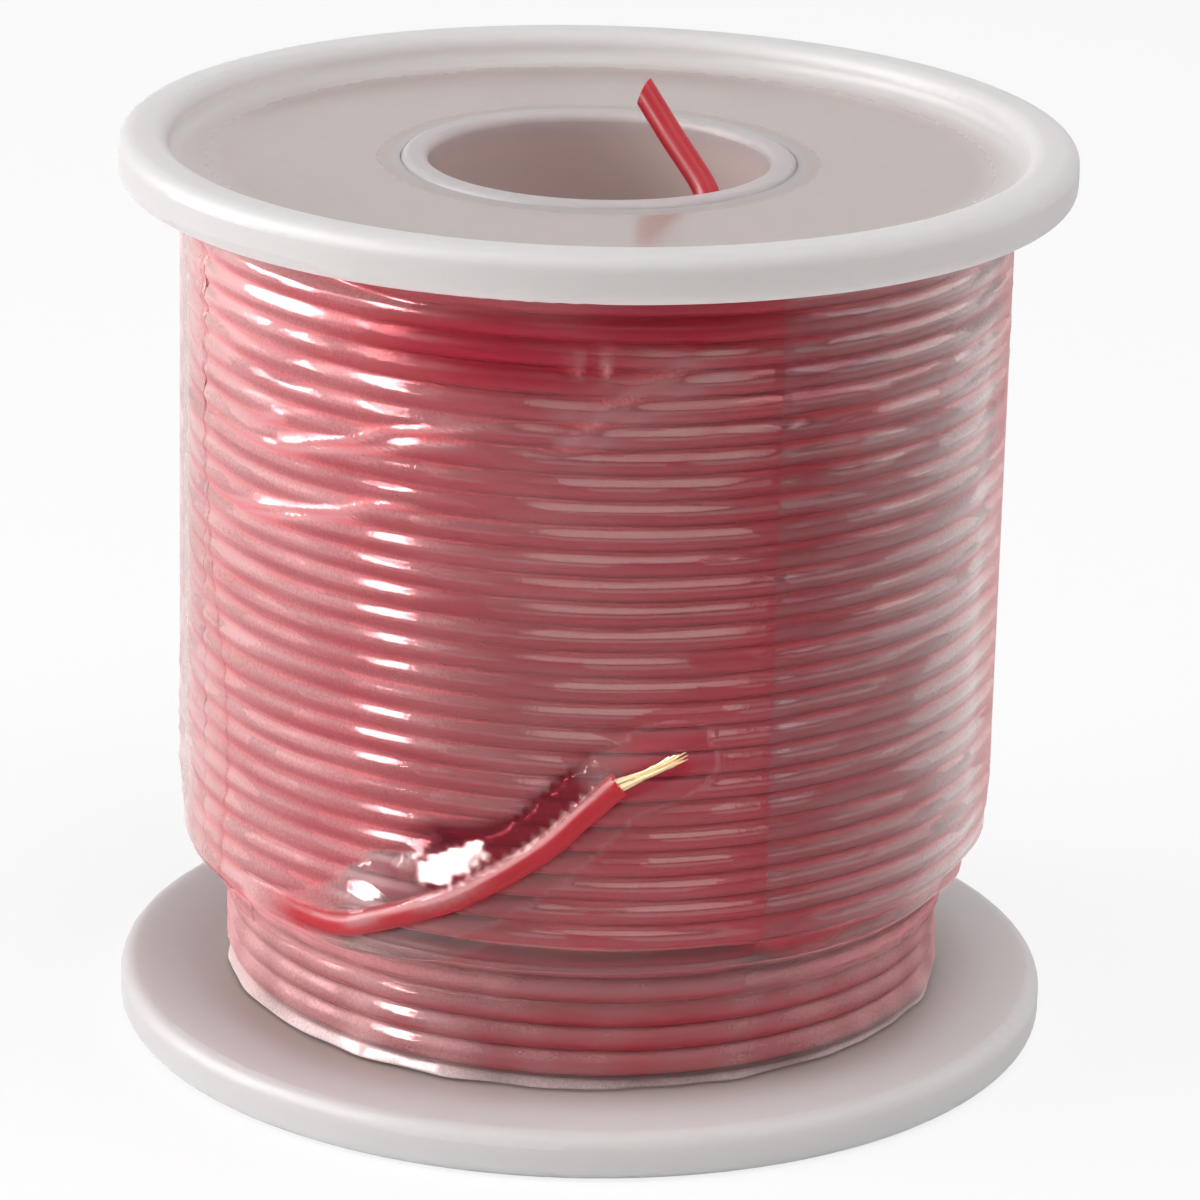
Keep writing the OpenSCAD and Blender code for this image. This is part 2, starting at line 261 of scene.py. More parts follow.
def spool_plastic(name, web_colour_with_painted_shade, web_roughness):
    """Milky plastic, matt on the bead and glossier on the web. Over the wire the web is painted darker and warmer, a
    painted shade of the winding seen through it. Deep in the bore the wall is painted lighter, painted light as if
    coming through the wall.
    """
    mat, nodes, links, plastic = material(name)
    place = node(nodes, "ShaderNodeTexCoord").outputs["Object"]
    parts = node(nodes, "ShaderNodeSeparateXYZ")
    links.new(place, parts.inputs[0])
    flat = node(nodes, "ShaderNodeCombineXYZ")
    links.new(parts.outputs["X"], flat.inputs["X"])
    links.new(parts.outputs["Y"], flat.inputs["Y"])
    radius = node(nodes, "ShaderNodeVectorMath", operation="LENGTH")
    links.new(flat.outputs[0], radius.inputs[0])
    marks = node(nodes, "ShaderNodeGroup", node_tree=MARKS)
    marks.inputs["Roughness"].default_value = 0.0
    marks.inputs["Spread"].default_value = 0.1
    links.new(place, marks.inputs["Vector"])
    # Painted shade: inside the bead the web takes the darker colour
    bead = ramp_mask(nodes, links, radius.outputs["Value"], WEB_EDGE_R - 4.5 * MM, WEB_EDGE_R + 0.5 * MM)
    tone = mixed(nodes, links, bead, web_colour_with_painted_shade, RIM_COLOUR)
    bore = ramp_mask(nodes, links, radius.outputs["Value"], BARREL_R + 0.9 * MM, BARREL_R - 0.6 * MM)
    # Painted light: lighter down in the bore, as if lit through the plastic
    painted_glow_depth = ramp_mask(nodes, links, parts.outputs["Z"], MOUTH_TOP_Z - 4.5 * MM, MOUTH_TOP_Z - 1.5 * MM)
    inside = mixed(nodes, links, painted_glow_depth, BORE_PAINTED_GLOW_COLOUR, LIP_COLOUR)
    tone = mixed(nodes, links, bore, tone, inside)
    cloudy = node(nodes, "ShaderNodeMapRange")
    cloudy.inputs["To Min"].default_value = 0.95
    cloudy.inputs["To Max"].default_value = 1.04
    links.new(marks.outputs["Cloud"], cloudy.inputs["Value"])
    shade = node(nodes, "ShaderNodeVectorMath", operation="SCALE")
    links.new(tone, shade.inputs[0])
    links.new(cloudy.outputs["Result"], shade.inputs["Scale"])
    links.new(shade.outputs[0], plastic.inputs["Base Color"])
    lip = ramp_mask(nodes, links, radius.outputs["Value"], BARREL_R + 1.5 * MM, BARREL_R - 0.3 * MM)
    dull = node(nodes, "ShaderNodeMath", operation="MAXIMUM")
    links.new(bead, dull.inputs[0])
    links.new(lip, dull.inputs[1])
    matt = node(nodes, "ShaderNodeMapRange")
    matt.inputs["To Min"].default_value = web_roughness
    matt.inputs["To Max"].default_value = 0.5
    links.new(dull.outputs[0], matt.inputs["Value"])
    shine = node(nodes, "ShaderNodeMapRange")
    shine.inputs["To Min"].default_value = 0.5
    shine.inputs["To Max"].default_value = 0.14
    links.new(dull.outputs[0], shine.inputs["Value"])
    links.new(shine.outputs["Result"], plastic.inputs["Specular IOR Level"])
    rough = node(nodes, "ShaderNodeMath", operation="ADD")
    links.new(matt.outputs["Result"], rough.inputs[0])
    links.new(marks.outputs["Roughness"], rough.inputs[1])
    links.new(rough.outputs[0], plastic.inputs["Roughness"])
    bump = node(nodes, "ShaderNodeBump")
    bump.inputs["Distance"].default_value = 0.02 * MM
    bump.inputs["Strength"].default_value = 0.25
    links.new(marks.outputs["Height"], bump.inputs["Height"])
    links.new(bump.outputs[0], plastic.inputs["Normal"])
    plastic.inputs["IOR"].default_value = 1.5
    plastic.inputs["Subsurface Weight"].default_value = 0.85
    plastic.inputs["Subsurface Radius"].default_value = (1.0, 0.85, 0.8)
    plastic.inputs["Subsurface Scale"].default_value = 4 * MM
    return mat


for name, colour, web_roughness in (
        ("top_flange", WEB_COLOUR_WITH_PAINTED_SHADE, 0.17), ("bottom_flange", FOOT_COLOUR_WITH_PAINTED_SHADE, 0.4), ("barrel", WEB_COLOUR_WITH_PAINTED_SHADE, 0.17)):
    for slot in NODES[name].material_slots:
        slot.material = spool_plastic(name + "_plastic", colour, web_roughness)


# ---- Winding ----
# About 40 m of red PVC hook-up wire in nine level layers. The last two stop short of the bottom
# flange, so that the layer under them shows there. Each layer is one helix that falls as it runs round.
WIRE_D = 1.85 * MM
PRESSED_D = 2.1 * MM
LAYER_RISE = 1.6 * MM
OUTER_R = 29.025 * MM
FLOOR_Z, CEILING_Z = 3.6 * MM, 64.4 * MM
FINISH_AZ = -145.0
OUTER_END_Z = 14.925 * MM
OUTER_TURNS = 26
TURN_PITCH = 1.8615 * MM
WIRE_RED, WIRE_DEEP = (0.58, 0.007, 0.024), (0.46, 0.005, 0.017)
# Painted shade: the wound turns' red, a darker copy of the free ends' red
WOUND_SHADED_RED, WOUND_SHADED_DEEP = (0.43, 0.008, 0.034), (0.33, 0.005, 0.024)


def wire_insulation(name, specular, red, deep):
    """Satin red PVC with faint drawn streaks, scuffs and a slight mottle. Light bleeds a little through it."""
    mat, nodes, links, skin = material(name)
    place = node(nodes, "ShaderNodeTexCoord").outputs["Object"]
    marks = node(nodes, "ShaderNodeGroup", node_tree=MARKS)
    marks.inputs["Grain Scale"].default_value = 2200
    marks.inputs["Scuff Scale"].default_value = 90
    marks.inputs["Stretch"].default_value = (1, 1, 4)
    marks.inputs["Roughness"].default_value = 0.34
    marks.inputs["Spread"].default_value = 0.16
    links.new(place, marks.inputs["Vector"])
    cloud = ramp_mask(nodes, links, marks.outputs["Cloud"], 0.3, 0.7)
    tone = mixed(nodes, links, cloud, deep, red)
    faint = node(nodes, "ShaderNodeMath", operation="MULTIPLY")
    faint.inputs[1].default_value = 0.12
    links.new(marks.outputs["Scuffs"], faint.inputs[0])
    links.new(mixed(nodes, links, faint.outputs[0], tone, (0.66, 0.10, 0.12)), skin.inputs["Base Color"])
    links.new(marks.outputs["Roughness"], skin.inputs["Roughness"])
    bump = node(nodes, "ShaderNodeBump")
    bump.inputs["Distance"].default_value = 0.015 * MM
    bump.inputs["Strength"].default_value = 0.4
    links.new(marks.outputs["Height"], bump.inputs["Height"])
    links.new(bump.outputs[0], skin.inputs["Normal"])
    skin.inputs["IOR"].default_value = 1.53
    skin.inputs["Specular IOR Level"].default_value = specular
    skin.inputs["Subsurface Weight"].default_value = 0.55
    skin.inputs["Subsurface Radius"].default_value = (1.0, 0.12, 0.12)
    skin.inputs["Subsurface Scale"].default_value = 0.9 * MM
    return mat


# Under the film the turns lose most of their own gloss. Their red is a darker copy of the free ends' red: painted shade
# for the wound turns, which are less lit.
INSULATION = wire_insulation("wire_insulation", 0.16, WIRE_RED, WIRE_DEEP)
WOUND_INSULATION = wire_insulation("wound_insulation_painted_darker", 0.12, WOUND_SHADED_RED, WOUND_SHADED_DEEP)


def winding_tree():
    """Geometry nodes: one tube on a helix, with turns that wander, sink and part a little."""
    tree = bpy.data.node_groups.new("wire_winding", "GeometryNodeTree")
    tree.is_modifier = True
    for label, kind, value in (
        ("Radius", "NodeSocketFloat", OUTER_R), ("Pitch", "NodeSocketFloat", TURN_PITCH), ("Turns", "NodeSocketInt", 5),
        ("Steps per Turn", "NodeSocketInt", 96), ("Sides", "NodeSocketInt", 16), ("Wire Diameter", "NodeSocketFloat", PRESSED_D),
        ("End Height", "NodeSocketFloat", OUTER_END_Z), ("End Azimuth", "NodeSocketFloat", 0.0),
        ("Wander", "NodeSocketFloat", 0.1 * MM), ("Sink", "NodeSocketFloat", 0.1 * MM), ("Seed", "NodeSocketFloat", 1.0),
        ("Part", "NodeSocketFloat", 0.0), ("Part Azimuth", "NodeSocketFloat", 0.0), ("Part Height", "NodeSocketFloat", 0.0),
        ("Start Drop", "NodeSocketFloat", 0.0), ("Material", "NodeSocketMaterial", None),
    ):
        made = tree.interface.new_socket(label, in_out="INPUT", socket_type=kind)
        if value is not None:
            made.default_value = value
    tree.interface.new_socket("Geometry", in_out="OUTPUT", socket_type="NodeSocketGeometry")
    nodes, links = tree.nodes, tree.links
    given = nodes.new("NodeGroupInput").outputs
    out = nodes.new("NodeGroupOutput")

    def maths(operation, a, b=None, c=None):
        made = node(nodes, "ShaderNodeMath", operation=operation)
        for socket, value in zip(made.inputs, (a, b, c)):
            if isinstance(value, (int, float)):
                socket.default_value = value
            elif value is not None:
                links.new(value, socket)
        return made.outputs[0]

    # The points, counted back from the end
    count = maths("MULTIPLY", given["Turns"], given["Steps per Turn"])
    line = node(nodes, "GeometryNodeCurvePrimitiveLine")
    points = node(nodes, "GeometryNodeResampleCurve")
    links.new(line.outputs["Curve"], points.inputs["Curve"])
    links.new(maths("ADD", count, 1), points.inputs["Count"])
    index = nodes.new("GeometryNodeInputIndex").outputs[0]
    left = maths("SUBTRACT", count, index)
    turns_left = maths("DIVIDE", left, given["Steps per Turn"])
    azimuth = maths("MULTIPLY_ADD", turns_left, -math.tau, given["End Azimuth"])
    height = maths("MULTIPLY_ADD", turns_left, given["Pitch"], given["End Height"])

    # Slow wander shared by neighbouring turns, and a finer one of each turn's own
    along = node(nodes, "ShaderNodeCombineXYZ")
    links.new(maths("MULTIPLY", maths("COSINE", azimuth), 1.4), along.inputs["X"])
    links.new(maths("MULTIPLY", maths("SINE", azimuth), 1.4), along.inputs["Y"])
    links.new(maths("MULTIPLY", height, 70), along.inputs["Z"])
    slow = node(nodes, "ShaderNodeTexNoise", noise_dimensions="4D")
    slow.inputs["Scale"].default_value = 1.0
    slow.inputs["Detail"].default_value = 1
    links.new(along.outputs[0], slow.inputs["Vector"])
    links.new(given["Seed"], slow.inputs["W"])
    own = node(nodes, "ShaderNodeCombineXYZ")
    links.new(maths("MULTIPLY", maths("COSINE", azimuth), 2.6), own.inputs["X"])
    links.new(maths("MULTIPLY", maths("SINE", azimuth), 2.6), own.inputs["Y"])
    links.new(maths("MULTIPLY", turns_left, 1.7), own.inputs["Z"])
    fine = node(nodes, "ShaderNodeTexNoise", noise_dimensions="4D")
    fine.inputs["Scale"].default_value = 1.0
    fine.inputs["Detail"].default_value = 1
    links.new(own.outputs[0], fine.inputs["Vector"])
    links.new(maths("ADD", given["Seed"], 9.0), fine.inputs["W"])
    wide = node(nodes, "ShaderNodeSeparateXYZ")
    links.new(slow.outputs["Color"], wide.inputs[0])
    close = node(nodes, "ShaderNodeSeparateXYZ")
    links.new(fine.outputs["Color"], close.inputs[0])
    settled = node(nodes, "ShaderNodeMapRange", interpolation_type="SMOOTHSTEP")
    links.new(turns_left, settled.inputs["Value"])
    settled.inputs["From Max"].default_value = 0.35
    lift = maths("MULTIPLY", maths("SUBTRACT", wide.outputs[0], 0.5), 2.0)
    own_lift = maths("MULTIPLY", maths("SUBTRACT", close.outputs[0], 0.5), 0.25)
    lift = maths("MULTIPLY", maths("ADD", lift, own_lift), given["Wander"])
    dip = maths("ABSOLUTE", maths("MULTIPLY", maths("SUBTRACT", wide.outputs[1], 0.5), 2.0))
    own_dip = maths("ABSOLUTE", maths("MULTIPLY", maths("SUBTRACT", close.outputs[1], 0.5), 1.2))
    dip = maths("MULTIPLY", maths("ADD", dip, own_dip), given["Sink"])

    # Turns part at one place, those above it rising and those below it falling
    bearing = maths("ARCTAN2", maths("SINE", azimuth), maths("COSINE", azimuth))
    off = maths("DIVIDE", maths("SUBTRACT", bearing, given["Part Azimuth"]), 0.42)
    window = maths("POWER", math.e, maths("MULTIPLY", maths("MULTIPLY", off, off), -1))
    over = maths("DIVIDE", maths("SUBTRACT", height, given["Part Height"]), TURN_PITCH)
    side = maths("TANH", maths("MULTIPLY", over, 3))
    fade = maths("POWER", math.e, maths("MULTIPLY", maths("ABSOLUTE", over), -0.3))
    parting = maths("MULTIPLY", maths("MULTIPLY", maths("MULTIPLY", window, side), fade), given["Part"])

    # The first bit comes up from the layer below
    begun = node(nodes, "ShaderNodeMapRange", interpolation_type="SMOOTHSTEP")
    links.new(maths("DIVIDE", index, given["Steps per Turn"]), begun.inputs["Value"])
    begun.inputs["From Max"].default_value = 0.09
    drop = maths("MULTIPLY", maths("SUBTRACT", 1, begun.outputs[0]), given["Start Drop"])

    radius = maths("SUBTRACT", given["Radius"], maths("MULTIPLY_ADD", dip, settled.outputs[0], drop))
    height = maths("MULTIPLY_ADD", maths("ADD", lift, parting), settled.outputs[0], height)
    place = node(nodes, "ShaderNodeCombineXYZ")
    links.new(maths("MULTIPLY", maths("COSINE", azimuth), radius), place.inputs["X"])
    links.new(maths("MULTIPLY", maths("SINE", azimuth), radius), place.inputs["Y"])
    links.new(height, place.inputs["Z"])
    laid = nodes.new("GeometryNodeSetPosition")
    links.new(points.outputs["Curve"], laid.inputs["Geometry"])
    links.new(place.outputs[0], laid.inputs["Position"])

    ring = node(nodes, "GeometryNodeCurvePrimitiveCircle", mode="RADIUS")
    links.new(given["Sides"], ring.inputs["Resolution"])
    links.new(maths("DIVIDE", given["Wire Diameter"], 2), ring.inputs["Radius"])
    tube = nodes.new("GeometryNodeCurveToMesh")
    tube.inputs["Fill Caps"].default_value = True
    links.new(laid.outputs["Geometry"], tube.inputs["Curve"])
    links.new(ring.outputs["Curve"], tube.inputs["Profile Curve"])
    smooth = nodes.new("GeometryNodeSetShadeSmooth")
    links.new(tube.outputs["Mesh"], smooth.inputs["Geometry"])
    real = nodes.new("GeometryNodeRealizeInstances")
    links.new(smooth.outputs["Geometry"], real.inputs["Geometry"])
    coloured = nodes.new("GeometryNodeSetMaterial")
    links.new(real.outputs["Geometry"], coloured.inputs["Geometry"])
    links.new(given["Material"], coloured.inputs["Material"])
    links.new(coloured.outputs["Geometry"], out.inputs["Geometry"])
    return tree


WINDING = winding_tree()


def wound(name, **sizes):
    """A plain mesh object of one winding, made by the winding tree with these inputs."""
    maker = bpy.data.objects.new(name + "_maker", bpy.data.meshes.new(name + "_maker"))
    bpy.context.scene.collection.objects.link(maker)
    modifier = maker.modifiers.new("winding", "NODES")
    modifier.node_group = WINDING
    sizes.setdefault("Material", WOUND_INSULATION)
    for item in WINDING.interface.items_tree:
        if item.item_type == "SOCKET" and item.in_out == "INPUT" and item.name in sizes:
            modifier[item.identifier] = sizes[item.name]
    evaluated = maker.evaluated_get(bpy.context.evaluated_depsgraph_get())
    mesh = bpy.data.meshes.new_from_object(evaluated)
    mesh.name = name
    bpy.data.objects.remove(maker)
    piece = bpy.data.objects.new(name, mesh)
    bpy.context.scene.collection.objects.link(piece)
    return piece


END_AZIMUTH = math.radians(FINISH_AZ)
outer_layer = wound(
    "outer_layer_turns",
    **{"Radius": OUTER_R - (PRESSED_D - WIRE_D) / 2, "Pitch": TURN_PITCH, "Turns": OUTER_TURNS, "Steps per Turn": 110, "Sides": 16,
       "End Height": OUTER_END_Z, "End Azimuth": END_AZIMUTH, "Wander": 0.18 * MM, "Sink": 0.22 * MM, "Seed": 3.0,
       "Part": 0.16 * MM, "Part Azimuth": math.radians(-97), "Part Height": 57.6 * MM, "Start Drop": LAYER_RISE},
)
lower_turns = wound(
    "lower_layer_turns",
    **{"Radius": OUTER_R - 2 * LAYER_RISE, "Pitch": 1.87 * MM, "Turns": 5, "Steps per Turn": 120, "Sides": 18,
       "End Height": FLOOR_Z + 0.95 * MM, "End Azimuth": math.radians(100), "Wander": 0.16 * MM, "Sink": 0.12 * MM, "Seed": 11.0},
)


def joined(name, pieces):
    """One object from several, which are used up."""
    whole = bmesh.new()
    for piece in pieces:
        whole.from_mesh(piece.data)
    mesh = bpy.data.meshes.new(name)
    whole.to_mesh(mesh)
    whole.free()
    for slot in pieces[0].data.materials:
        mesh.materials.append(slot)
    for piece in pieces:
        bpy.data.objects.remove(piece)
    made = bpy.data.objects.new(name, mesh)
    bpy.context.scene.collection.objects.link(made)
    return made


def turned(name, section, steps, mat):
    """A closed ring turned from a section of (radius, height) points, which runs round clockwise."""
    rows = len(section)
    points = []
    for k in range(steps):
        c, s = math.cos(math.tau * k / steps), math.sin(math.tau * k / steps)
        points += [(r * c, r * s, z) for r, z in section]
    faces = []
    for k in range(steps):
        a, b = k * rows, (k + 1) % steps * rows
        faces += [(a + i, b + i, b + (i + 1) % rows, a + (i + 1) % rows) for i in range(rows)]
    mesh = bpy.data.meshes.new(name)
    mesh.from_pydata(points, [], faces)
    mesh.materials.append(mat)
    mesh.shade_smooth()
    shell = bmesh.new()
    shell.from_mesh(mesh)
    bmesh.ops.recalc_face_normals(shell, faces=shell.faces)
    shell.to_mesh(mesh)
    shell.free()
    made = bpy.data.objects.new(name, mesh)
    bpy.context.scene.collection.objects.link(made)
    return made


# The eighth layer lies whole under the outer one; the layers below it are one ribbed body
STEP_Z = 14.0 * MM
eighth_layer = wound(
    "eighth_layer_turns",
    **{"Radius": OUTER_R - LAYER_RISE, "Pitch": TURN_PITCH, "Turns": 26, "Steps per Turn": 48, "Sides": 8,
       "End Height": STEP_Z + 0.95 * MM, "End Azimuth": math.radians(100), "Wander": 0.1 * MM, "Sink": 0.1 * MM, "Seed": 5.0},
)


def inner_section():
    """Ribs, one for each turn, down the outside of the layers below the eighth."""
    ribs = []
    turns = int((CEILING_Z - FLOOR_Z) / WIRE_D)
    pitch = (CEILING_Z - FLOOR_Z) / turns
    for turn in range(turns):
        top = CEILING_Z - turn * pitch
        mean = OUTER_R - 2 * LAYER_RISE if top > STEP_Z + 3 * MM else OUTER_R - 3 * LAYER_RISE
        for k in range(5):
            angle = math.pi * (0.5 - (k + 0.5) / 5)
            ribs.append((mean + WIRE_D / 2 * math.cos(angle), top - pitch / 2 + pitch / 2 * math.sin(angle)))
    return [(15.4 * MM, CEILING_Z - 0.05 * MM)] + ribs + [(15.4 * MM, FLOOR_Z + 0.05 * MM)]


inner_layers = joined("inner_layer_turns", [turned("inner_body", inner_section(), 96, WOUND_INSULATION), eighth_layer])

for piece, stood_for in ((outer_layer, "wire_outer_layer"), (lower_turns, "wire_lower_turns"), (inner_layers, "wire_inner_layers")):
    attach(piece, "root")
    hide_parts(stood_for)


# ---- Start end of the wire ----
# It comes out of a hole in the barrel's wall, stands up through the bore and over the lip, and is
# cut off at a slant. The insulation is a tube; the tinned copper strands show on the cut.
MOUTH_R = 12.5 * MM
START_AZ = math.radians(-50)
START_Z = 61.6 * MM
CONDUCTOR_D = 0.95 * MM


def smooth_route(stops, steps):
    """A Catmull-Rom curve through the stops."""
    stops = [Vector(s) for s in stops]
    last = len(stops) - 1
    route = []
    for i in range(last):
        a, b, c, d = stops[max(i - 1, 0)], stops[i], stops[i + 1], stops[min(i + 2, last)]
        for k in range(steps):
            t = k / steps
            route.append(0.5 * (2 * b + (c - a) * t + (2 * a - 5 * b + 4 * c - d) * t * t + (3 * b - a - 3 * c + d) * t ** 3))
    return route + [stops[last]]


def headings(route):
    last = len(route) - 1
    return [(route[min(i + 1, last)] - route[max(i - 1, 0)]).normalized() for i in range(last + 1)]


def swept(shell, route, radius, sides, inward=False, caps=True):
    """Adds a tube along the route to a bmesh. The radius is a number or one for each point."""
    ways = headings(route)
    up = ways[0].orthogonal().normalized()
    rings = []
    for i, (point, way) in enumerate(zip(route, ways)):
        up = (up - way * up.dot(way)).normalized()
        across = way.cross(up)
        r = radius[i] if hasattr(radius, "__len__") else radius
        rings.append([
            shell.verts.new(point + r * (up * math.cos(math.tau * k / sides) + across * math.sin(math.tau * k / sides)))
            for k in range(sides)
        ])
    for a, b in zip(rings, rings[1:]):
        for k in range(sides):
            j = (k + 1) % sides
            face = (a[k], a[j], b[j], b[k])
            shell.faces.new(face if not inward else face[::-1])
    if caps:
        shell.faces.new(rings[0][::-1])
        shell.faces.new(rings[-1])
    return rings


def object_from(name, shell, mat, smooth=True):
    bmesh.ops.recalc_face_normals(shell, faces=shell.faces)
    mesh = bpy.data.meshes.new(name)
    shell.to_mesh(mesh)
    shell.free()
    mesh.materials.append(mat)
    if smooth:
        mesh.shade_smooth()
        mesh.set_sharp_from_angle(angle=math.radians(50))
    made = bpy.data.objects.new(name, mesh)
    bpy.context.scene.collection.objects.link(made)
    return made


def in_bore(x, y, rise):
    """A place in the bore: two shares of the mouth's radius, and a height in wire diameters."""
    return (x * MOUTH_R, y * MOUTH_R, START_Z + rise * WIRE_D)


start_route = smooth_route(
    [(r * math.cos(START_AZ), r * math.sin(START_AZ), START_Z) for r in (15.3 * MM, 12.2 * MM)]
    + [in_bore(0.624, -0.592, 0.65), in_bore(0.624, -0.448, 1.84), in_bore(0.4, -0.24, 3.9), in_bore(0.136, -0.016, 6.38)],
    14,
)
CUT_AT = Vector(in_bore(0.256, -0.112, 5.28))
CUT_FACES = Matrix.Rotation(math.radians(-20), 3, "Z") @ Matrix.Rotation(math.radians(-70), 3, "Y") @ Vector((0, 0, 1))

shell = bmesh.new()
outside = swept(shell, start_route, WIRE_D / 2, 32, caps=False)
inside = swept(shell, start_route, CONDUCTOR_D / 2, 32, inward=True, caps=False)
for k in range(32):
    j = (k + 1) % 32
    shell.faces.new((outside[0][j], outside[0][k], inside[0][k], inside[0][j]))
cut = bmesh.ops.bisect_plane(
    shell, geom=shell.verts[:] + shell.edges[:] + shell.faces[:], plane_co=CUT_AT, plane_no=CUT_FACES, clear_outer=True
)
bmesh.ops.bridge_loops(shell, edges=[e for e in cut["geom_cut"] if isinstance(e, bmesh.types.BMEdge)])
start_insulation = object_from("start_end_insulation", shell, INSULATION)


def bare_copper():
    """Bright drawn copper strands, pale gold where they are tinned thin, with faint lengthwise lines."""
    mat, nodes, links, metal = material("bare_copper")
    place = node(nodes, "ShaderNodeTexCoord").outputs["Object"]
    marks = node(nodes, "ShaderNodeGroup", node_tree=MARKS)
    marks.inputs["Grain Scale"].default_value = 3000
    marks.inputs["Scuff Scale"].default_value = 400
    marks.inputs["Roughness"].default_value = 0.3
    marks.inputs["Spread"].default_value = 0.2
    links.new(place, marks.inputs["Vector"])
    cloud = ramp_mask(nodes, links, marks.outputs["Scuffs"], 0.2, 0.8)
    links.new(mixed(nodes, links, cloud, (0.93, 0.74, 0.47), (0.86, 0.56, 0.32)), metal.inputs["Base Color"])
    links.new(marks.outputs["Roughness"], metal.inputs["Roughness"])
    bump = node(nodes, "ShaderNodeBump")
    bump.inputs["Distance"].default_value = 0.01 * MM
    links.new(marks.outputs["Height"], bump.inputs["Height"])
    links.new(bump.outputs[0], metal.inputs["Normal"])
    metal.inputs["Metallic"].default_value = 1.0
    return mat


COPPER = bare_copper()
STRAND_D = 0.25 * MM


def twisted_strand(shell, route, angle, reach, twist=2.5, sides=8):
    """One strand laid at a radius round the route, turning about it."""
    ways = headings(route)
    up = ways[0].orthogonal().normalized()
    laid = []
    for i, (point, way) in enumerate(zip(route, ways)):
        up = (up - way * up.dot(way)).normalized()
        turn = angle + twist * math.tau * i / len(route)
        laid.append(point + reach * (up * math.cos(turn) + way.cross(up) * math.sin(turn)))
    swept(shell, laid, STRAND_D / 2, sides)


shell = bmesh.new()
for reach, count in ((0.0, 1), (0.22 * MM, 5), (0.345 * MM, 9)):
    for k in range(count):
        twisted_strand(shell, start_route, math.tau * k / count, reach)
cut = bmesh.ops.bisect_plane(
    shell, geom=shell.verts[:] + shell.edges[:] + shell.faces[:], plane_co=CUT_AT - CUT_FACES * 0.02 * MM, plane_no=CUT_FACES,
    clear_outer=True,
)
bmesh.ops.holes_fill(shell, edges=[e for e in cut["geom_cut"] if isinstance(e, bmesh.types.BMEdge)])
start_conductor = object_from("start_end_strands", shell, COPPER)

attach(start_insulation, "root")
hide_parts("start_tail_insulation")
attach(start_conductor, "root")
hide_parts("start_tail_conductor")


# ---- Finish end of the wire ----
# The lowest outer turn lifts off, crosses up over its neighbours under the film and ends in a torn
# tuft of bare strands. The insulation is cut square and its edge is a little ragged.
FINISH_CLIMB = WIRE_D + 0.05 * MM
FINISH_STOPS = (
    (FINISH_AZ, 0, 0), (-135, 0, 0.1), (-125, 0.27, 0.65), (-119, 0.87, 0.98), (-112, 1.73, 1),
    (-105, 2.7, 1), (-95.5, 4.65, 1), (-90, 6.2, 1), (-85.5, 7.45, 1),
)


def polar(r, azimuth, z):
    return Vector((r * math.cos(math.radians(azimuth)), r * math.sin(math.radians(azimuth)), z))


finish_route = smooth_route(
    [polar(OUTER_R + climb * FINISH_CLIMB, az, OUTER_END_Z + rise * WIRE_D) for az, rise, climb in FINISH_STOPS], 12
)
shell = bmesh.new()
outside = swept(shell, finish_route, WIRE_D / 2, 32, caps=False)
inside = swept(shell, finish_route, CONDUCTOR_D / 2, 32, inward=True, caps=False)
for k in range(32):
    j = (k + 1) % 32
    shell.faces.new((outside[0][j], outside[0][k], inside[0][k], inside[0][j]))
    shell.faces.new((outside[-1][k], outside[-1][j], inside[-1][j], inside[-1][k]))
finish_way = headings(finish_route)[-1]
for k, vert in enumerate(outside[-1]):
    vert.co += finish_way * 0.12 * MM * math.sin(3.1 * k) - 0.0 * finish_way
finish_insulation = object_from("finish_end_insulation", shell, INSULATION)

finish_end = finish_route[-1]
finish_out = Vector((finish_end.x, finish_end.y, 0)).normalized()
finish_side = finish_out.cross(finish_way)
STRAND_LEAN, STRAND_LENGTH = math.radians(20), 5.5 * MM
tuft_way = finish_way * math.cos(STRAND_LEAN) - finish_side * math.sin(STRAND_LEAN)
tuft_side = finish_out.cross(tuft_way)

shell = bmesh.new()
for reach, count in ((0.0, 1), (0.22 * MM, 5), (0.345 * MM, 9)):
    for k in range(count):
        twisted_strand(shell, finish_route[:-1], math.tau * k / count, reach, twist=4)
dice = np.random.default_rng(7)
for k in range(18):
    angle = math.tau * k / 18
    ring = 0.34 * MM if k % 3 else 0.12 * MM
    start = finish_end - finish_way * 0.3 * MM + ring * (finish_side * math.cos(angle) + finish_out * math.sin(angle))
    length = STRAND_LENGTH * (1 - 0.5 * dice.random() ** 1.6)
    sway = (dice.random() - 0.5) * 0.9 * MM
    gather = 0.35 if k % 6 else 1.2
    points = []
    for i in range(9):
        t = i / 8
        spread = ring * (1 - t) * gather
        points.append(
            start + tuft_way * length * t
            + (tuft_side * math.cos(angle) + finish_out * math.sin(angle)) * (spread - ring * t)
            + tuft_side * sway * t * t - finish_out * 0.45 * MM * t * t
        )
    swept(shell, points, [STRAND_D / 2 * (1 - 0.75 * (i / 8) ** 2) for i in range(9)], 7)
finish_strands = object_from("finish_end_strands", shell, COPPER)

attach(finish_insulation, "root")
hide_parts("finish_tail_insulation")
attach(finish_strands, "root")
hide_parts("finish_tail_strands")


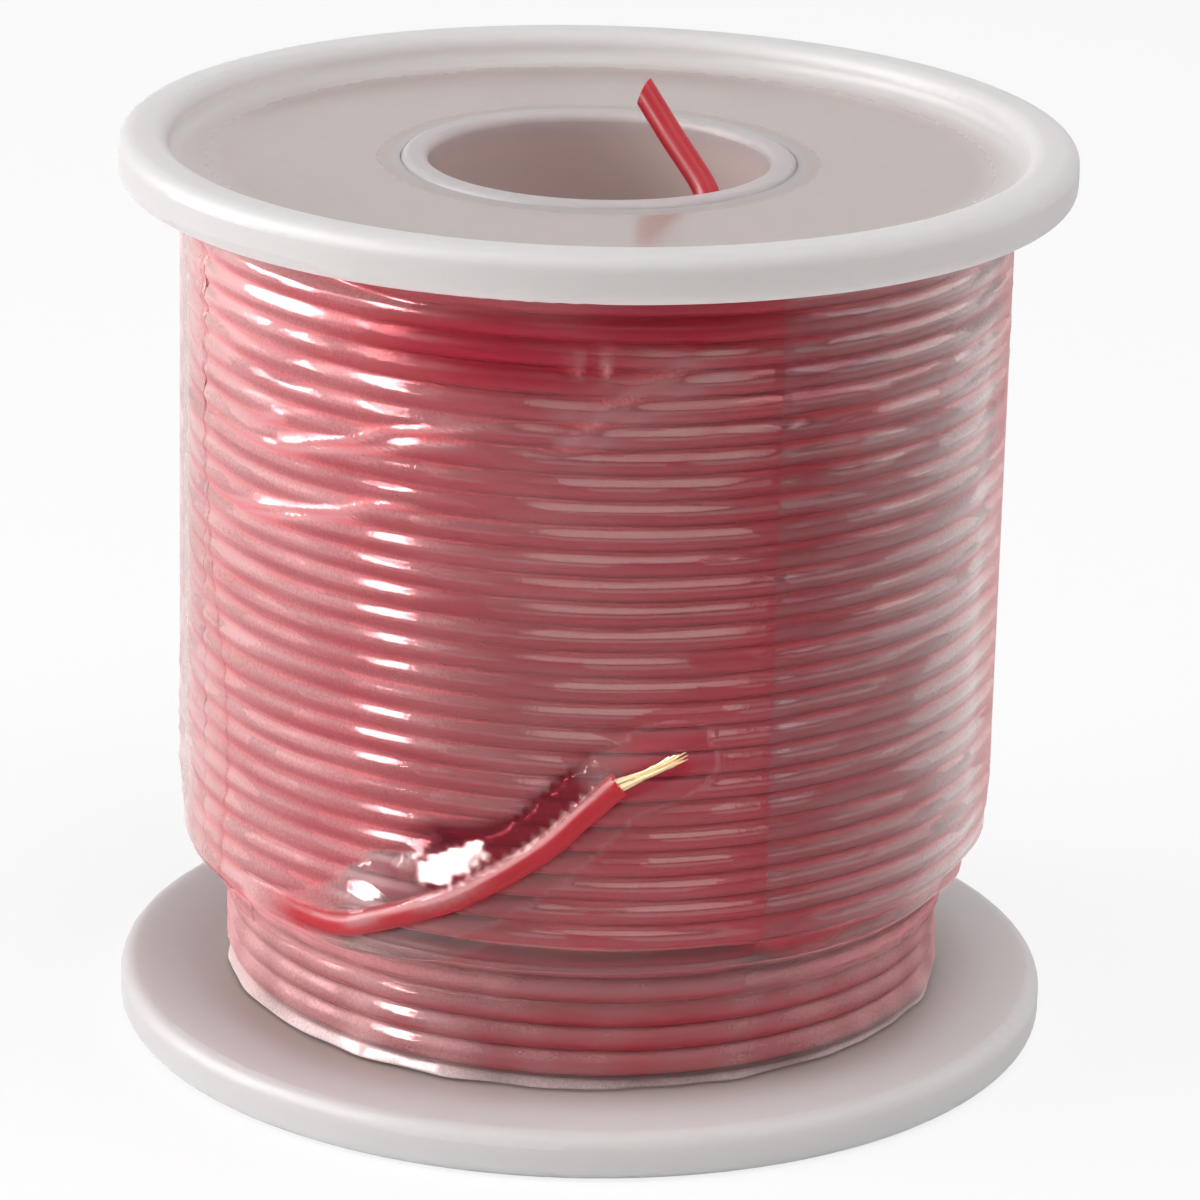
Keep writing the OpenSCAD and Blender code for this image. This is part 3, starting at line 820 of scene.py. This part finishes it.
# ---- Stretch film ----
# One strip of clear film about 60 mm wide, stretched round the winding a little less than twice. It
# clings to the turns, bridges the grooves, tents over the finish end and is gathered in below. The
# strip starts at the front right, passes over its own start after a turn and ends at the left.
FILM_T = 0.04 * MM
PLY_LIFT, OUTER_PLY_LIFT, SLACK = 0.05 * MM, 0.14 * MM, 0.45 * MM
FILM_START_AZ, FILM_END_AZ = -64.0, -155.5
HEM_TOP_Z, HEM_R = 13.3 * MM, 2.9 * MM
HEM_BASE_R = 27.25 * MM
FILM_TOP_Z = CEILING_Z - 0.1 * MM
TIGHT_BEND, EASY_BEND, LOOSE_BEND = 0.25 * MM, 0.7 * MM, 3.0 * MM


def surface_of(*pieces):
    whole = bmesh.new()
    for piece in pieces:
        whole.from_mesh(piece.data)
    tree = BVHTree.FromBMesh(whole)
    whole.free()
    return tree


wound_surface = surface_of(outer_layer, lower_turns, inner_layers)


def heights(azimuths, z, floor_r):
    """Radius of the wire's surface at each point of a grid, found by rays towards the axis."""
    found = np.full(z.shape, floor_r)
    for j, azimuth in enumerate(azimuths):
        way = polar(1, azimuth, 0)
        for i in range(len(z)):
            hit = wound_surface.ray_cast(way * 36 * MM + Vector((0, 0, z[i, j])), -way, 13 * MM)
            if hit[0] is not None:
                found[i, j] = max(floor_r, math.hypot(hit[0].x, hit[0].y))
    return found


def slid(grid, rows, cols):
    """The grid moved by whole rows and columns, its edges repeated."""
    i = np.clip(np.arange(grid.shape[0]) - rows, 0, grid.shape[0] - 1)
    j = np.clip(np.arange(grid.shape[1]) - cols, 0, grid.shape[1] - 1)
    return grid[i][:, j]


def rolled(grid, bend, step):
    """The grid closed by a disc: the shape of a taut film that bends no tighter than that."""
    reach = int(bend / step)
    drops = [(k, math.sqrt(bend ** 2 - (k * step) ** 2) - bend) for k in range(-reach, reach + 1)]
    outer = np.max([slid(grid, k, 0) + drop for k, drop in drops], axis=0)
    return np.min([slid(outer, k, 0) - drop for k, drop in drops], axis=0)


def softened(grid, rows, cols):
    for reach, down in ((rows, True), (cols, False)):
        steps = range(-2 * reach, 2 * reach + 1)
        weights = [math.exp(-0.5 * (k / max(reach, 0.1)) ** 2) for k in steps]
        grid = sum(w * slid(grid, k if down else 0, 0 if down else k) for w, k in zip(weights, steps)) / sum(weights)
    return grid


def rolling(azimuths, z, scale, seed, skew=0.0):
    """Smooth noise from -1 to 1 over the film. The skew leans its grain from level."""
    grid = np.empty(z.shape)
    for j, azimuth in enumerate(azimuths):
        s = math.radians(azimuth) * 30 * MM
        for i in range(len(z)):
            grid[i, j] = noise.noise(Vector((s / scale[0], (z[i, j] - s * skew) / scale[1], seed)))
    return grid


def near_line(azimuths, z, stops, radius=30 * MM):
    """How far each point lies from a line of (azimuth, height in mm) stops, and where along it from 0 to 1."""
    s = np.radians(azimuths)[None, :] * radius
    best = np.full(z.shape, 1.0)
    share = np.zeros_like(best)
    line = [(math.radians(a) * radius, h * MM) for a, h in stops]
    for n, ((s0, z0), (s1, z1)) in enumerate(zip(line, line[1:])):
        along = np.clip(((s - s0) * (s1 - s0) + (z - z0) * (z1 - z0)) / ((s1 - s0) ** 2 + (z1 - z0) ** 2), 0, 1)
        away = np.hypot(s - s0 - along * (s1 - s0), z - z0 - along * (z1 - z0))
        closer = away < best
        best = np.where(closer, away, best)
        share = np.where(closer, (n + along) / (len(line) - 1), share)
    return best, share


# Pulled folds: stops of azimuth and height in mm, then how far they stand out and how wide they are in mm
FOLDS = (
    (((-146, 50.4), (-140.7, 51.2), (-135.4, 52.3)), 0.25, 0.22),
    (((-149, 49.3), (-138.5, 49.6), (-132, 50.7), (-123.2, 51.7), (-118.2, 52.9), (-109, 53.6), (-102, 54.3)), 0.3, 0.22),
    (((-141, 49.1), (-131, 50.2), (-122, 51.0), (-114, 52.2), (-106, 52.7)), 0.2, 0.2),
    (((-153.4, 43.8), (-141, 44.9), (-135, 45.4), (-129.4, 45.9), (-125.2, 46.3), (-120.7, 47.2), (-113, 47.7)), 0.28, 0.22),
    (((-149, 43.4), (-139, 44.3), (-130, 45.3), (-122, 46.2)), 0.2, 0.2),
    (((-77.5, 60.4), (-79.4, 58.2), (-82.9, 57.6), (-87.3, 55.9), (-92.1, 53.7), (-95, 52.7)), 0.12, 0.7),
    (((-92.4, 60.2), (-92.3, 57.6)), 0.2, 0.35),
    (((-87.6, 60.4), (-88.9, 57.2)), 0.2, 0.35),
    (((-115.5, 20.5), (-113.5, 22), (-110.5, 22.9), (-109.5, 24.6)), 0.2, 0.22),
)


# Film colours: its milk, pinked by painted light bounced from the wire; painted red light from the wire over the
# grooves; and the dark crimson veil of a painted shadow
FILM_MILK, FILM_PAINTED_RED_LIGHT, FILM_IN_SHADE = (0.93, 0.77, 0.76), (0.78, 0.04, 0.07), (0.2, 0.03, 0.04)


def film_material():
    """Clear glossy film: a faint mirror, stronger at a slant and where air lies under it, and milky in patches. Its
    milk also carries painted sheen, painted red light from the wire and a painted shadow, as its point values give.
    """
    mat, nodes, links, film = material("stretch_film")
    place = node(nodes, "ShaderNodeTexCoord").outputs["Object"]
    marks = node(nodes, "ShaderNodeGroup", node_tree=MARKS)
    marks.inputs["Grain Scale"].default_value = 5000
    marks.inputs["Scuff Scale"].default_value = 45
    marks.inputs["Stretch"].default_value = (1, 1, 2.5)
    marks.inputs["Roughness"].default_value = 0.06
    marks.inputs["Spread"].default_value = 0.05
    links.new(place, marks.inputs["Vector"])
    gloss = node(nodes, "ShaderNodeAttribute", attribute_name="gloss")
    haze = node(nodes, "ShaderNodeAttribute", attribute_name="haze")
    slant = node(nodes, "ShaderNodeFresnel")
    slant.inputs["IOR"].default_value = 1.5
    standoff = node(nodes, "ShaderNodeAttribute", attribute_name="standoff")
    parted = node(nodes, "ShaderNodeMapRange")
    parted.inputs["From Min"].default_value = 0
    parted.inputs["From Max"].default_value = 0.03
    parted.inputs["To Min"].default_value = 0.3
    links.new(standoff.outputs["Fac"], parted.inputs["Value"])
    sheen = node(nodes, "ShaderNodeMath", operation="MULTIPLY")
    links.new(gloss.outputs["Fac"], sheen.inputs[0])
    links.new(parted.outputs["Result"], sheen.inputs[1])
    mirror = node(nodes, "ShaderNodeMath", operation="MULTIPLY")
    links.new(slant.outputs[0], mirror.inputs[0])
    links.new(sheen.outputs[0], mirror.inputs[1])
    cover = node(nodes, "ShaderNodeMath", operation="ADD", use_clamp=True)
    links.new(mirror.outputs[0], cover.inputs[0])
    speckle = node(nodes, "ShaderNodeMapRange", clamp=False)
    speckle.inputs["From Min"].default_value = 0.3
    speckle.inputs["From Max"].default_value = 0.7
    speckle.inputs["To Min"].default_value = 0.86
    speckle.inputs["To Max"].default_value = 1.14
    links.new(marks.outputs["Height"], speckle.inputs["Value"])
    thicker = node(nodes, "ShaderNodeMath", operation="MULTIPLY_ADD")
    links.new(parted.outputs["Result"], thicker.inputs[0])
    thicker.inputs[1].default_value = 0.3
    thicker.inputs[2].default_value = 0.79
    speckled = node(nodes, "ShaderNodeMath", operation="MULTIPLY")
    links.new(thicker.outputs[0], speckled.inputs[0])
    links.new(speckle.outputs["Result"], speckled.inputs[1])
    milk = node(nodes, "ShaderNodeMath", operation="MULTIPLY")
    links.new(haze.outputs["Fac"], milk.inputs[0])
    links.new(speckled.outputs[0], milk.inputs[1])
    # Painted sheen: the milk shows up to four times stronger at a slant
    deeper = node(nodes, "ShaderNodeMath", operation="MULTIPLY_ADD")
    links.new(slant.outputs[0], deeper.inputs[0])
    deeper.inputs[1].default_value = 3
    deeper.inputs[2].default_value = 1
    milk_and_painted_sheen_seen = node(nodes, "ShaderNodeMath", operation="MULTIPLY")
    links.new(milk.outputs[0], milk_and_painted_sheen_seen.inputs[0])
    links.new(deeper.outputs[0], milk_and_painted_sheen_seen.inputs[1])
    links.new(milk_and_painted_sheen_seen.outputs[0], cover.inputs[1])
    side = node(nodes, "ShaderNodeNewGeometry")
    facing = node(nodes, "ShaderNodeMath", operation="SUBTRACT")
    facing.inputs[0].default_value = 1
    links.new(side.outputs["Backfacing"], facing.inputs[1])
    shown = node(nodes, "ShaderNodeMath", operation="MULTIPLY")
    links.new(cover.outputs[0], shown.inputs[0])
    links.new(facing.outputs[0], shown.inputs[1])
    links.new(shown.outputs[0], film.inputs["Alpha"])
    clear = node(nodes, "ShaderNodeMath", operation="DIVIDE", use_clamp=True)
    links.new(mirror.outputs[0], clear.inputs[0])
    links.new(cover.outputs[0], clear.inputs[1])
    links.new(clear.outputs[0], film.inputs["Metallic"])
    links.new(marks.outputs["Roughness"], film.inputs["Roughness"])
    film.inputs["Specular IOR Level"].default_value = 0
    red = node(nodes, "ShaderNodeAttribute", attribute_name="red")
    shade = node(nodes, "ShaderNodeAttribute", attribute_name="shade")
    tone = mixed(nodes, links, red.outputs["Fac"], FILM_MILK, FILM_PAINTED_RED_LIGHT)
    links.new(mixed(nodes, links, shade.outputs["Fac"], tone, FILM_IN_SHADE), film.inputs["Base Color"])
    bump = node(nodes, "ShaderNodeBump")
    bump.inputs["Distance"].default_value = 0.03 * MM
    bump.inputs["Strength"].default_value = 0.3
    links.new(marks.outputs["Height"], bump.inputs["Height"])
    links.new(bump.outputs[0], film.inputs["Normal"])
    return mat


FILM = film_material()


def film_piece(name, azimuths, radius, z, closed=False, **fields):
    """A sheet of film from grids of radius and height, with its point values, given a thickness."""
    rows, cols = z.shape
    c, s = np.cos(np.radians(azimuths)), np.sin(np.radians(azimuths))
    points = np.stack([radius * c, radius * s, z], axis=-1).reshape(-1, 3)
    faces = []
    for i in range(rows - 1):
        for j in range(cols if closed else cols - 1):
            k = (j + 1) % cols
            faces.append((i * cols + j, (i + 1) * cols + j, (i + 1) * cols + k, i * cols + k))
    mesh = bpy.data.meshes.new(name)
    mesh.from_pydata(points.tolist(), [], faces)
    for label, values in fields.items():
        mesh.attributes.new(label, "FLOAT", "POINT").data.foreach_set("value", np.asarray(values, np.float32).ravel())
    mesh.materials.append(FILM)
    mesh.shade_smooth()
    piece = bpy.data.objects.new(name, mesh)
    bpy.context.scene.collection.objects.link(piece)
    wall = piece.modifiers.new("thickness", "SOLIDIFY")
    wall.thickness = FILM_T
    wall.offset = 1
    return piece


def bump_up(away, width, power=1.4):
    return np.exp(-(away / width) ** power)


FILM_ROWS = 306
# Where the tent over the finish end shines: middle azimuth, middle height, half sizes and rise in mm
TENT_SHINE = ((-120, 18.7, 1.5, 0.55, 0.1), (-107.6, 21.8, 2.6, 1.1, 0.5))
# Where the film lies calm and reflects little: middle azimuth, middle height and half sizes in mm
CALM = ((-102, 59.3, 11.0, 3.2), (-80, 61.5, 9.0, 1.8))


# The cut end of the strip: how wide its bright edge is in degrees, and how it runs from foot to top
CUT_EDGE = 0.18
CUT_END = ((-152.5, 15), (-150.3, 24), (-151.5, 31), (-156, 38), (-158.5, 45), (-159.5, 51), (-160.5, 58))
WHOLE_TURN = 360


def film_wall(name, first_az, last_az, col_width, lift, least_loose=((0, 1), (0, 0)), glosses=((0, 1), (1.7, 1.7)), groove_share=((0, 1), (1, 1)), taut=((0, 1), (0, 0)), milk_and_painted_light_share=((0, 1), (1, 1))):
    """Film round the outer layer from one azimuth to another, turned in under the winding at its foot."""
    cols = int(math.radians(last_az - first_az) * 30 * MM / col_width) + 1
    azimuths = np.append(np.linspace(first_az, last_az - CUT_EDGE, cols - 1), last_az)
    down = np.linspace(0, 1, FILM_ROWS)[:, None]
    row_height = (FILM_TOP_Z - HEM_TOP_Z) / (FILM_ROWS - 1)

    # Rows follow the turns, except at the film's edges and where two pieces of it join
    with_turns = np.clip(np.minimum(down, 1 - down) * 12, 0, 1)
    with_turns = with_turns * np.clip(np.minimum(azimuths - first_az, last_az - azimuths) / 8, 0, 1)[None, :]
    z = FILM_TOP_Z + (HEM_TOP_Z - FILM_TOP_Z) * down - TURN_PITCH * (azimuths - azimuths.mean())[None, :] / 360 * with_turns
    lifts = np.interp(azimuths, *lift)[None, :]
    raw = heights(azimuths, z, 28.2 * MM)

    # It hugs the turns closely, less so by the folds and here and there
    loose = np.clip(rolling(azimuths, z, (13 * MM, 4 * MM), 2.0, 0.12) * 2.2 - 0.35, 0, 1)
    loose = np.maximum(loose, np.interp(azimuths, *least_loose)[None, :])
    for stops, out_by, width in FOLDS:
        loose = np.maximum(loose, bump_up(near_line(azimuths, z, stops)[0], 1.2 * MM))
    hugging = softened(rolled(raw, TIGHT_BEND, row_height), 1, 1)
    hugging += (softened(rolled(raw, EASY_BEND, row_height), 1, 1) - hugging) * np.clip((55 - z / MM) / 3, 0, 1)
    bridging = softened(rolled(raw, LOOSE_BEND, row_height), 1, 1)
    wall = np.maximum(hugging + (bridging - hugging) * loose, raw)

    # Here and there it is pulled straight from top to bottom, clear of the turns
    pulled = softened(np.broadcast_to(wall.max(axis=0, keepdims=True) + SLACK, wall.shape), 0, 4)
    wall = wall + (pulled - wall) * np.interp(azimuths, *taut)[None, :] * np.clip(8 * (1 - down), 0, 1)

    # It stands a hair off the upper side of each turn, in patches, and shines there
    facing_up = -(slid(wall, -1, 0) - slid(wall, 1, 0)) / (slid(z, -1, 0) - slid(z, 1, 0))
    patchy = rolling(azimuths, z, (7 * MM, 1.1 * MM), 12.0) + 0.8 * rolling(azimuths, z, (16 * MM, 6 * MM), 14.0, 0.5)
    calm = np.zeros_like(wall)
    for middle, height, half_width, half_height in CALM:
        s = (azimuths[None, :] - middle) * math.radians(30) / half_width
        calm = np.maximum(calm, np.exp(-(s ** 2 + ((z / MM - height) / half_height) ** 2) ** 2))
    patchy -= 1.2 * calm
    at_start = (azimuths[None, :] - FILM_START_AZ + 1.5 * rolling(azimuths, z, (4 * MM, 1.2 * MM), 17.0)) / 0.9
    patchy -= 2 * np.exp(-at_start ** 2)
    standoff = facing_up - 0.08 + 3.5 * np.minimum(patchy + 0.12, 0.02)
    wall += lifts

    # Over the finish end it is a tent that leaves the wire at a slope, longer on the upper side
    under = finish_route[::5] + [finish_end + tuft_way * STRAND_LENGTH * 0.8]
    tail = [(math.degrees(math.atan2(p.y, p.x)), p.z / MM) for p in under]
    away, share = near_line(azimuths, z, tail)
    away_tail = away
    crest = np.interp(share, np.linspace(0, 1, len(under)), [math.hypot(p.x, p.y) + 0.54 * WIRE_D for p in under])
    above = z > np.interp(azimuths, [a for a, _ in tail], [h * MM for _, h in tail])[None, :]
    off = np.maximum(away - 0.45 * WIRE_D, 0)
    run = np.interp(azimuths, (-112, -100), (3.1, 1.8))[None, :] * MM
    drop = np.interp(azimuths, (-112, -100), (1.9, 2.35))[None, :] * MM
    fall = np.where(above, np.where(off < run, off * drop / run, drop + 0.3 * (off - run)), 0.95 * off)
    round_top = crest - 0.4 * (WIRE_D / 2 - np.sqrt(np.maximum((WIRE_D / 2) ** 2 - np.minimum(away, WIRE_D / 2) ** 2, 0)))
    tent = np.where(away < 0.45 * WIRE_D, round_top, crest - 0.1 * MM - fall)
    tented = softened(tent, 1, 1) + lifts
    tent_share = np.clip((tented - wall) / (0.15 * MM), 0, 1)
    # Painted shadow: above the tail, where the tent stands off the turns, the film gets a dark crimson veil in place of
    # the tail's shade
    shade = np.clip((tented - OUTER_R - 0.25 * MM) / (0.25 * MM), 0, 1) * above * np.clip((azimuths + 118) / 8, 0, 1)[None, :]
    shade *= np.clip((away / WIRE_D - 0.45) / 0.1, 0, 1) * np.clip((1 - share) * 8, 0, 1)
    on_tail = np.clip((0.62 - away / WIRE_D) / 0.15, 0, 1) * tent_share
    wall = np.maximum(wall, tented)

    # Milk, partly painted sheen, then folds and small wrinkles
    seen_az = (azimuths + 300) % 360 - 300
    haze = np.interp(seen_az, *MILK_AND_PAINTED_SHEEN)[None, :] * (1 - 0.85 * calm)
    haze *= 1 + 0.4 * rolling(azimuths, z, (9 * MM, 1.6 * MM), 31.0)
    # At the left the milk is made stronger along the upper side of each turn: a painted sheen where the light falls
    painted_sheen_along_top = 0.5 + np.clip(0.5 + 1.1 * facing_up, 0, 1) * 0.8
    haze *= 1 + (painted_sheen_along_top - 1) * np.clip((-98 - seen_az) / 20, 0, 1)[None, :] * (1 - tent_share)
    haze *= 1 - 0.9 * on_tail * np.clip((share - 0.03) / 0.12, 0, 1)
    on_fold = np.zeros_like(wall)
    for stops, out_by, width in FOLDS:
        away, share = near_line(azimuths, z, stops)
        ends = np.clip(np.minimum(share, 1 - share) * 6, 0, 1)
        wall += out_by * MM * ends * bump_up(away, width * MM)
        haze += 0.066 / width * ends * bump_up(away, 0.6 * width * MM)
        on_fold = np.maximum(on_fold, ends * bump_up(away, 2 * width * MM))
    ridges = np.clip(1 - np.abs(rolling(azimuths, z, (9 * MM, 2.4 * MM), 5.0, 0.25)) * 2.2, 0, 1)
    where = np.clip(rolling(azimuths, z, (22 * MM, 12 * MM), 8.0) * 1.6, 0, 1)
    wall += 0.12 * MM * ridges ** 6 * where
    wavy = azimuths[None, :] + np.zeros_like(wall)
    if last_az == FILM_END_AZ + WHOLE_TURN:
        near_end = np.clip(1 - (last_az - azimuths) / 14, 0, 1)[None, :]
        wavy += near_end * np.interp(z / MM, [h for _, h in CUT_END], [a - FILM_END_AZ for a, _ in CUT_END])
    # It has lost its shine at the left, below the third dozen of millimetres from the top
    dulled = np.interp(seen_az, (-200, -170, -124, -122.5), (0, 0.95, 0.95, 0))[None, :]
    dulled = 1 - dulled * np.clip((54 - z / MM) / 1.5, 0, 1)
    gloss_free = np.interp(azimuths, *glosses)[None, :]
    gloss = gloss_free * (1 - 0.75 * calm) * (1 - tent_share) * dulled + GLOSS_TENT * tent_share
    gloss = np.maximum(gloss, 1.7 * on_fold)
    standoff = np.maximum(standoff, 0.1 * np.maximum(tent_share, on_fold))
    ragged = 0.4 * rolling(azimuths, z, (1.2 * MM, 0.8 * MM), 21.0)
    for middle, height, half_width, half_height, rise in TENT_SHINE:
        s = (azimuths[None, :] - middle) * math.radians(30)
        up = (z / MM - height - s * rise) / half_height
        shining = tent_share * np.clip((1 + ragged - np.hypot(s / half_width, up)) / 0.12, 0, 1)
        gloss += 1.6 * shining
        haze *= 1 - shining
        shade *= 1 - shining
    gloss += 0.3 * on_tail
    # The tail's own film shines in two thin lines along its upper side: more gloss there, and a painted highlight of
    # white milk
    offside = np.abs(np.where(above, away_tail, -away_tail) - 0.12 * WIRE_D)
    gloss_and_painted_highlight_streak = np.interp(azimuths, (-123, -121, -118, -116, -113, -110, -105, -101), (0, 1, 1, 0, 0, 0.7, 0.7, 0))[None, :]
    gloss_and_painted_highlight_streak = gloss_and_painted_highlight_streak * np.exp(-(offside / (0.17 * WIRE_D)) ** 2) * tent_share
    haze += 0.12 * gloss_and_painted_highlight_streak
    gloss += 2.5 * gloss_and_painted_highlight_streak

    # In the grooves, at the left and along the cut end the film is given the wire's red: painted red light, lifting the
    # grooves' shade and standing in for light bounced from the wire
    groove = np.clip((wall - lifts - raw) / (0.35 * MM), 0, 1) * (1 - tent_share) * np.interp(azimuths, *groove_share)[None, :]
    painted_red_light = np.interp(seen_az, (-200, -120, -95, -60), (0.2, 0.3, 0.35, 0.2))[None, :] * groove
    painted_red_light += np.interp(seen_az, (-172, -152, -124, -98), (0, 0.25, 0.33, 0))[None, :] * (1 - tent_share * np.clip((azimuths[None, :] + 132) / 10, 0, 1))
    if last_az == FILM_END_AZ + WHOLE_TURN:
        painted_red_light[:, -2:] += 0.25
    # The share of painted red light in the film's colour
    red = painted_red_light / np.maximum(haze + painted_red_light, 0.001)
    haze = haze * np.interp(azimuths, *milk_and_painted_light_share)[None, :]
    painted_red_light = painted_red_light * np.interp(azimuths, *milk_and_painted_light_share)[None, :]
    # The painted shadow's veil sets the least milk there
    haze = np.maximum(haze + painted_red_light, 0.42 * shade)

    # The foot is gathered in
    turned_in = np.radians(np.linspace(0, 90, 13)[1:])[:, None]
    pucker = rolling(azimuths, np.zeros((1, cols)), (3 * MM, 1.0), 3.0) * 0.25 * MM
    foot = HEM_BASE_R + (wall[-1:] - HEM_BASE_R) * (1 - np.sin(turned_in)) + pucker * np.sin(turned_in)
    foot_z = np.broadcast_to(HEM_TOP_Z - HEM_R * (1 - np.cos(turned_in)), foot.shape)
    # Painted light: the foot's reddish milk, stronger along each turn, lifts the shade under the outer layer's overhang
    with_wire = np.cos(2 * np.pi * (foot_z / TURN_PITCH + azimuths[None, :] / 360))
    foot_haze = np.interp((azimuths + 180) % 360 - 180, *MILK_AND_PAINTED_LIGHT_BELOW)[None, :] * (1 + 0.6 * with_wire)
    foot_haze = foot_haze * (1 + 0.5 * rolling(azimuths, foot_z, (16 * MM, 0.6 * MM), 41.0))
    return film_piece(
        name, np.vstack([wavy, np.broadcast_to(wavy[-1:], foot.shape)]), np.vstack([wall, foot]), np.vstack([z, foot_z]),
        standoff=np.vstack([standoff, np.full_like(foot, 1)]), gloss=np.vstack([gloss, np.full_like(foot, GLOSS_FOOT)]), haze=np.vstack([haze, np.broadcast_to(foot_haze, foot.shape)]),
        red=np.vstack([red, np.full_like(foot, 0.55)]), shade=np.vstack([shade, np.zeros_like(foot)]),
    )


GLOSS_TENT, GLOSS_FOOT = 0.02, 0.06
# How milky the film is at azimuths from -300 to 60. It is most towards the sides, where much of it is painted sheen for
# film seen at a slant and lit from the left.
MILK_AND_PAINTED_SHEEN = (
    (-230, -195, -172, -158, -148, -130, -108, -60, -42, -35, -28, -20, -8, 10, 40),
    (0.08, 0.2, 0.3, 0.38, 0.35, 0.236, 0.116, 0.03, 0.085, 0.163, 0.286, 0.36, 0.27, 0.16, 0.08),
)
# How milky the foot and skirt are round the spool: partly painted light, lifting the shade below the outer layer
MILK_AND_PAINTED_LIGHT_BELOW = (
    (-180, -165, -125, -100, -80, -60, -35, 0, 40, 150, 180),
    (0.2, 0.35, 0.39, 0.17, 0.14, 0.17, 0.3, 0.22, 0.15, 0.15, 0.2),
)
PLY_JOIN_AZ, SIDE_JOIN_AZ = -160.0, 20.0
inner_film = film_wall(
    "film_first_ply", FILM_START_AZ, PLY_JOIN_AZ + WHOLE_TURN, 0.95 * MM, ((0, 1), (PLY_LIFT, PLY_LIFT)), glosses=((0, 1), (1.0, 1.0)),
)
front_film = film_wall(
    "film_front", PLY_JOIN_AZ, SIDE_JOIN_AZ, 0.63 * MM,
    ((FILM_START_AZ - 1.5, FILM_START_AZ + 0.5), (PLY_LIFT, OUTER_PLY_LIFT)), ((FILM_START_AZ, FILM_START_AZ + 6), (0, 0.5)),
    ((-100, -85, FILM_START_AZ - 2, FILM_START_AZ + 6), (1.7, 2.1, 2.1, 1.5)), taut=((-17, -7, 6, 15), (0, 1, 1, 0)),
)
outer_film = film_wall(
    "film_second_ply", SIDE_JOIN_AZ, FILM_END_AZ + WHOLE_TURN, 0.8 * MM,
    ((0, 1), (OUTER_PLY_LIFT, OUTER_PLY_LIFT)), ((20, 60, 190, 205), (0.5, 0.85, 1, 0.4)),
    ((0, 1), (0.9, 0.9)), ((20, 60), (1, 0)), ((160, 172, 194, 202), (0, 1, 1, 0)), ((60, 170, 190, 198), (1, 1, 0.7, 0.3)),
)

# The skirt clings to the lower turns and flares onto the bottom flange
SKIRT_TOP_Z, SKIRT_FOOT_Z = 13.2 * MM, FLOOR_Z + 0.2 * MM
skirt_az = np.linspace(-180, 180, 301)[:-1]
skirt_z = np.linspace(SKIRT_TOP_Z, SKIRT_FOOT_Z, 60)[:, None] + np.zeros((1, len(skirt_az)))
skirt_raw = np.minimum(heights(skirt_az, skirt_z, 26.0 * MM), 26.85 * MM)
skirt_wall = np.maximum(softened(rolled(skirt_raw, TIGHT_BEND, 0.16 * MM), 1, 1), skirt_raw) + 0.08 * MM
flare = np.clip((5.6 * MM - skirt_z) / (1.8 * MM), 0, 1)
pleats = rolling(skirt_az, skirt_z, (4 * MM, 6 * MM), 6.0)
skirt_wall += flare ** 1.5 * (0.75 * MM + 0.35 * MM * pleats) + 0.05 * MM * np.abs(pleats)
skirt_up = -(slid(skirt_wall, -1, 0) - slid(skirt_wall, 1, 0)) / (slid(skirt_z, -1, 0) - slid(skirt_z, 1, 0))
# Painted light and sheen: the skirt's milk is stronger on the upper side of each turn
skirt_haze = np.interp(skirt_az, *MILK_AND_PAINTED_LIGHT_BELOW)[None, :] * (1 + 0.4 * pleats) * (0.55 + 1.15 * np.clip(0.5 + 1.1 * skirt_up, 0, 1))
sparkling = np.interp(skirt_az, (-134, -126, -108, -100), (0, 1, 1, 0))[None, :]
skirt_gloss = 0.14 + 1.3 * sparkling * (1 - 0.85 * flare) * np.clip(rolling(skirt_az, skirt_z, (5 * MM, 1.2 * MM), 51.0) * 3 + 0.4, 0, 1)
# Painted light: the skirt's red stands in for light from the wire, less on the flare
skirt_film = film_piece(
    "film_skirt_sheet", skirt_az, skirt_wall, skirt_z, closed=True,
    standoff=np.ones_like(skirt_wall), gloss=skirt_gloss, haze=skirt_haze + 0.1 * flare ** 2, red=0.4 * (1 - flare), shade=np.zeros_like(skirt_wall),
)

for piece, stood_for, flat in (
    (inner_film, "film_wrap", (0.14, 0.0555)), (front_film, "film_wrap", (0.096, 0.0555)), (outer_film, "film_wrap", (0.097, 0.0555)),
    (skirt_film, "film_skirt", (0.17, 0.0105)),
):
    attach(piece, "root")
    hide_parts(stood_for)
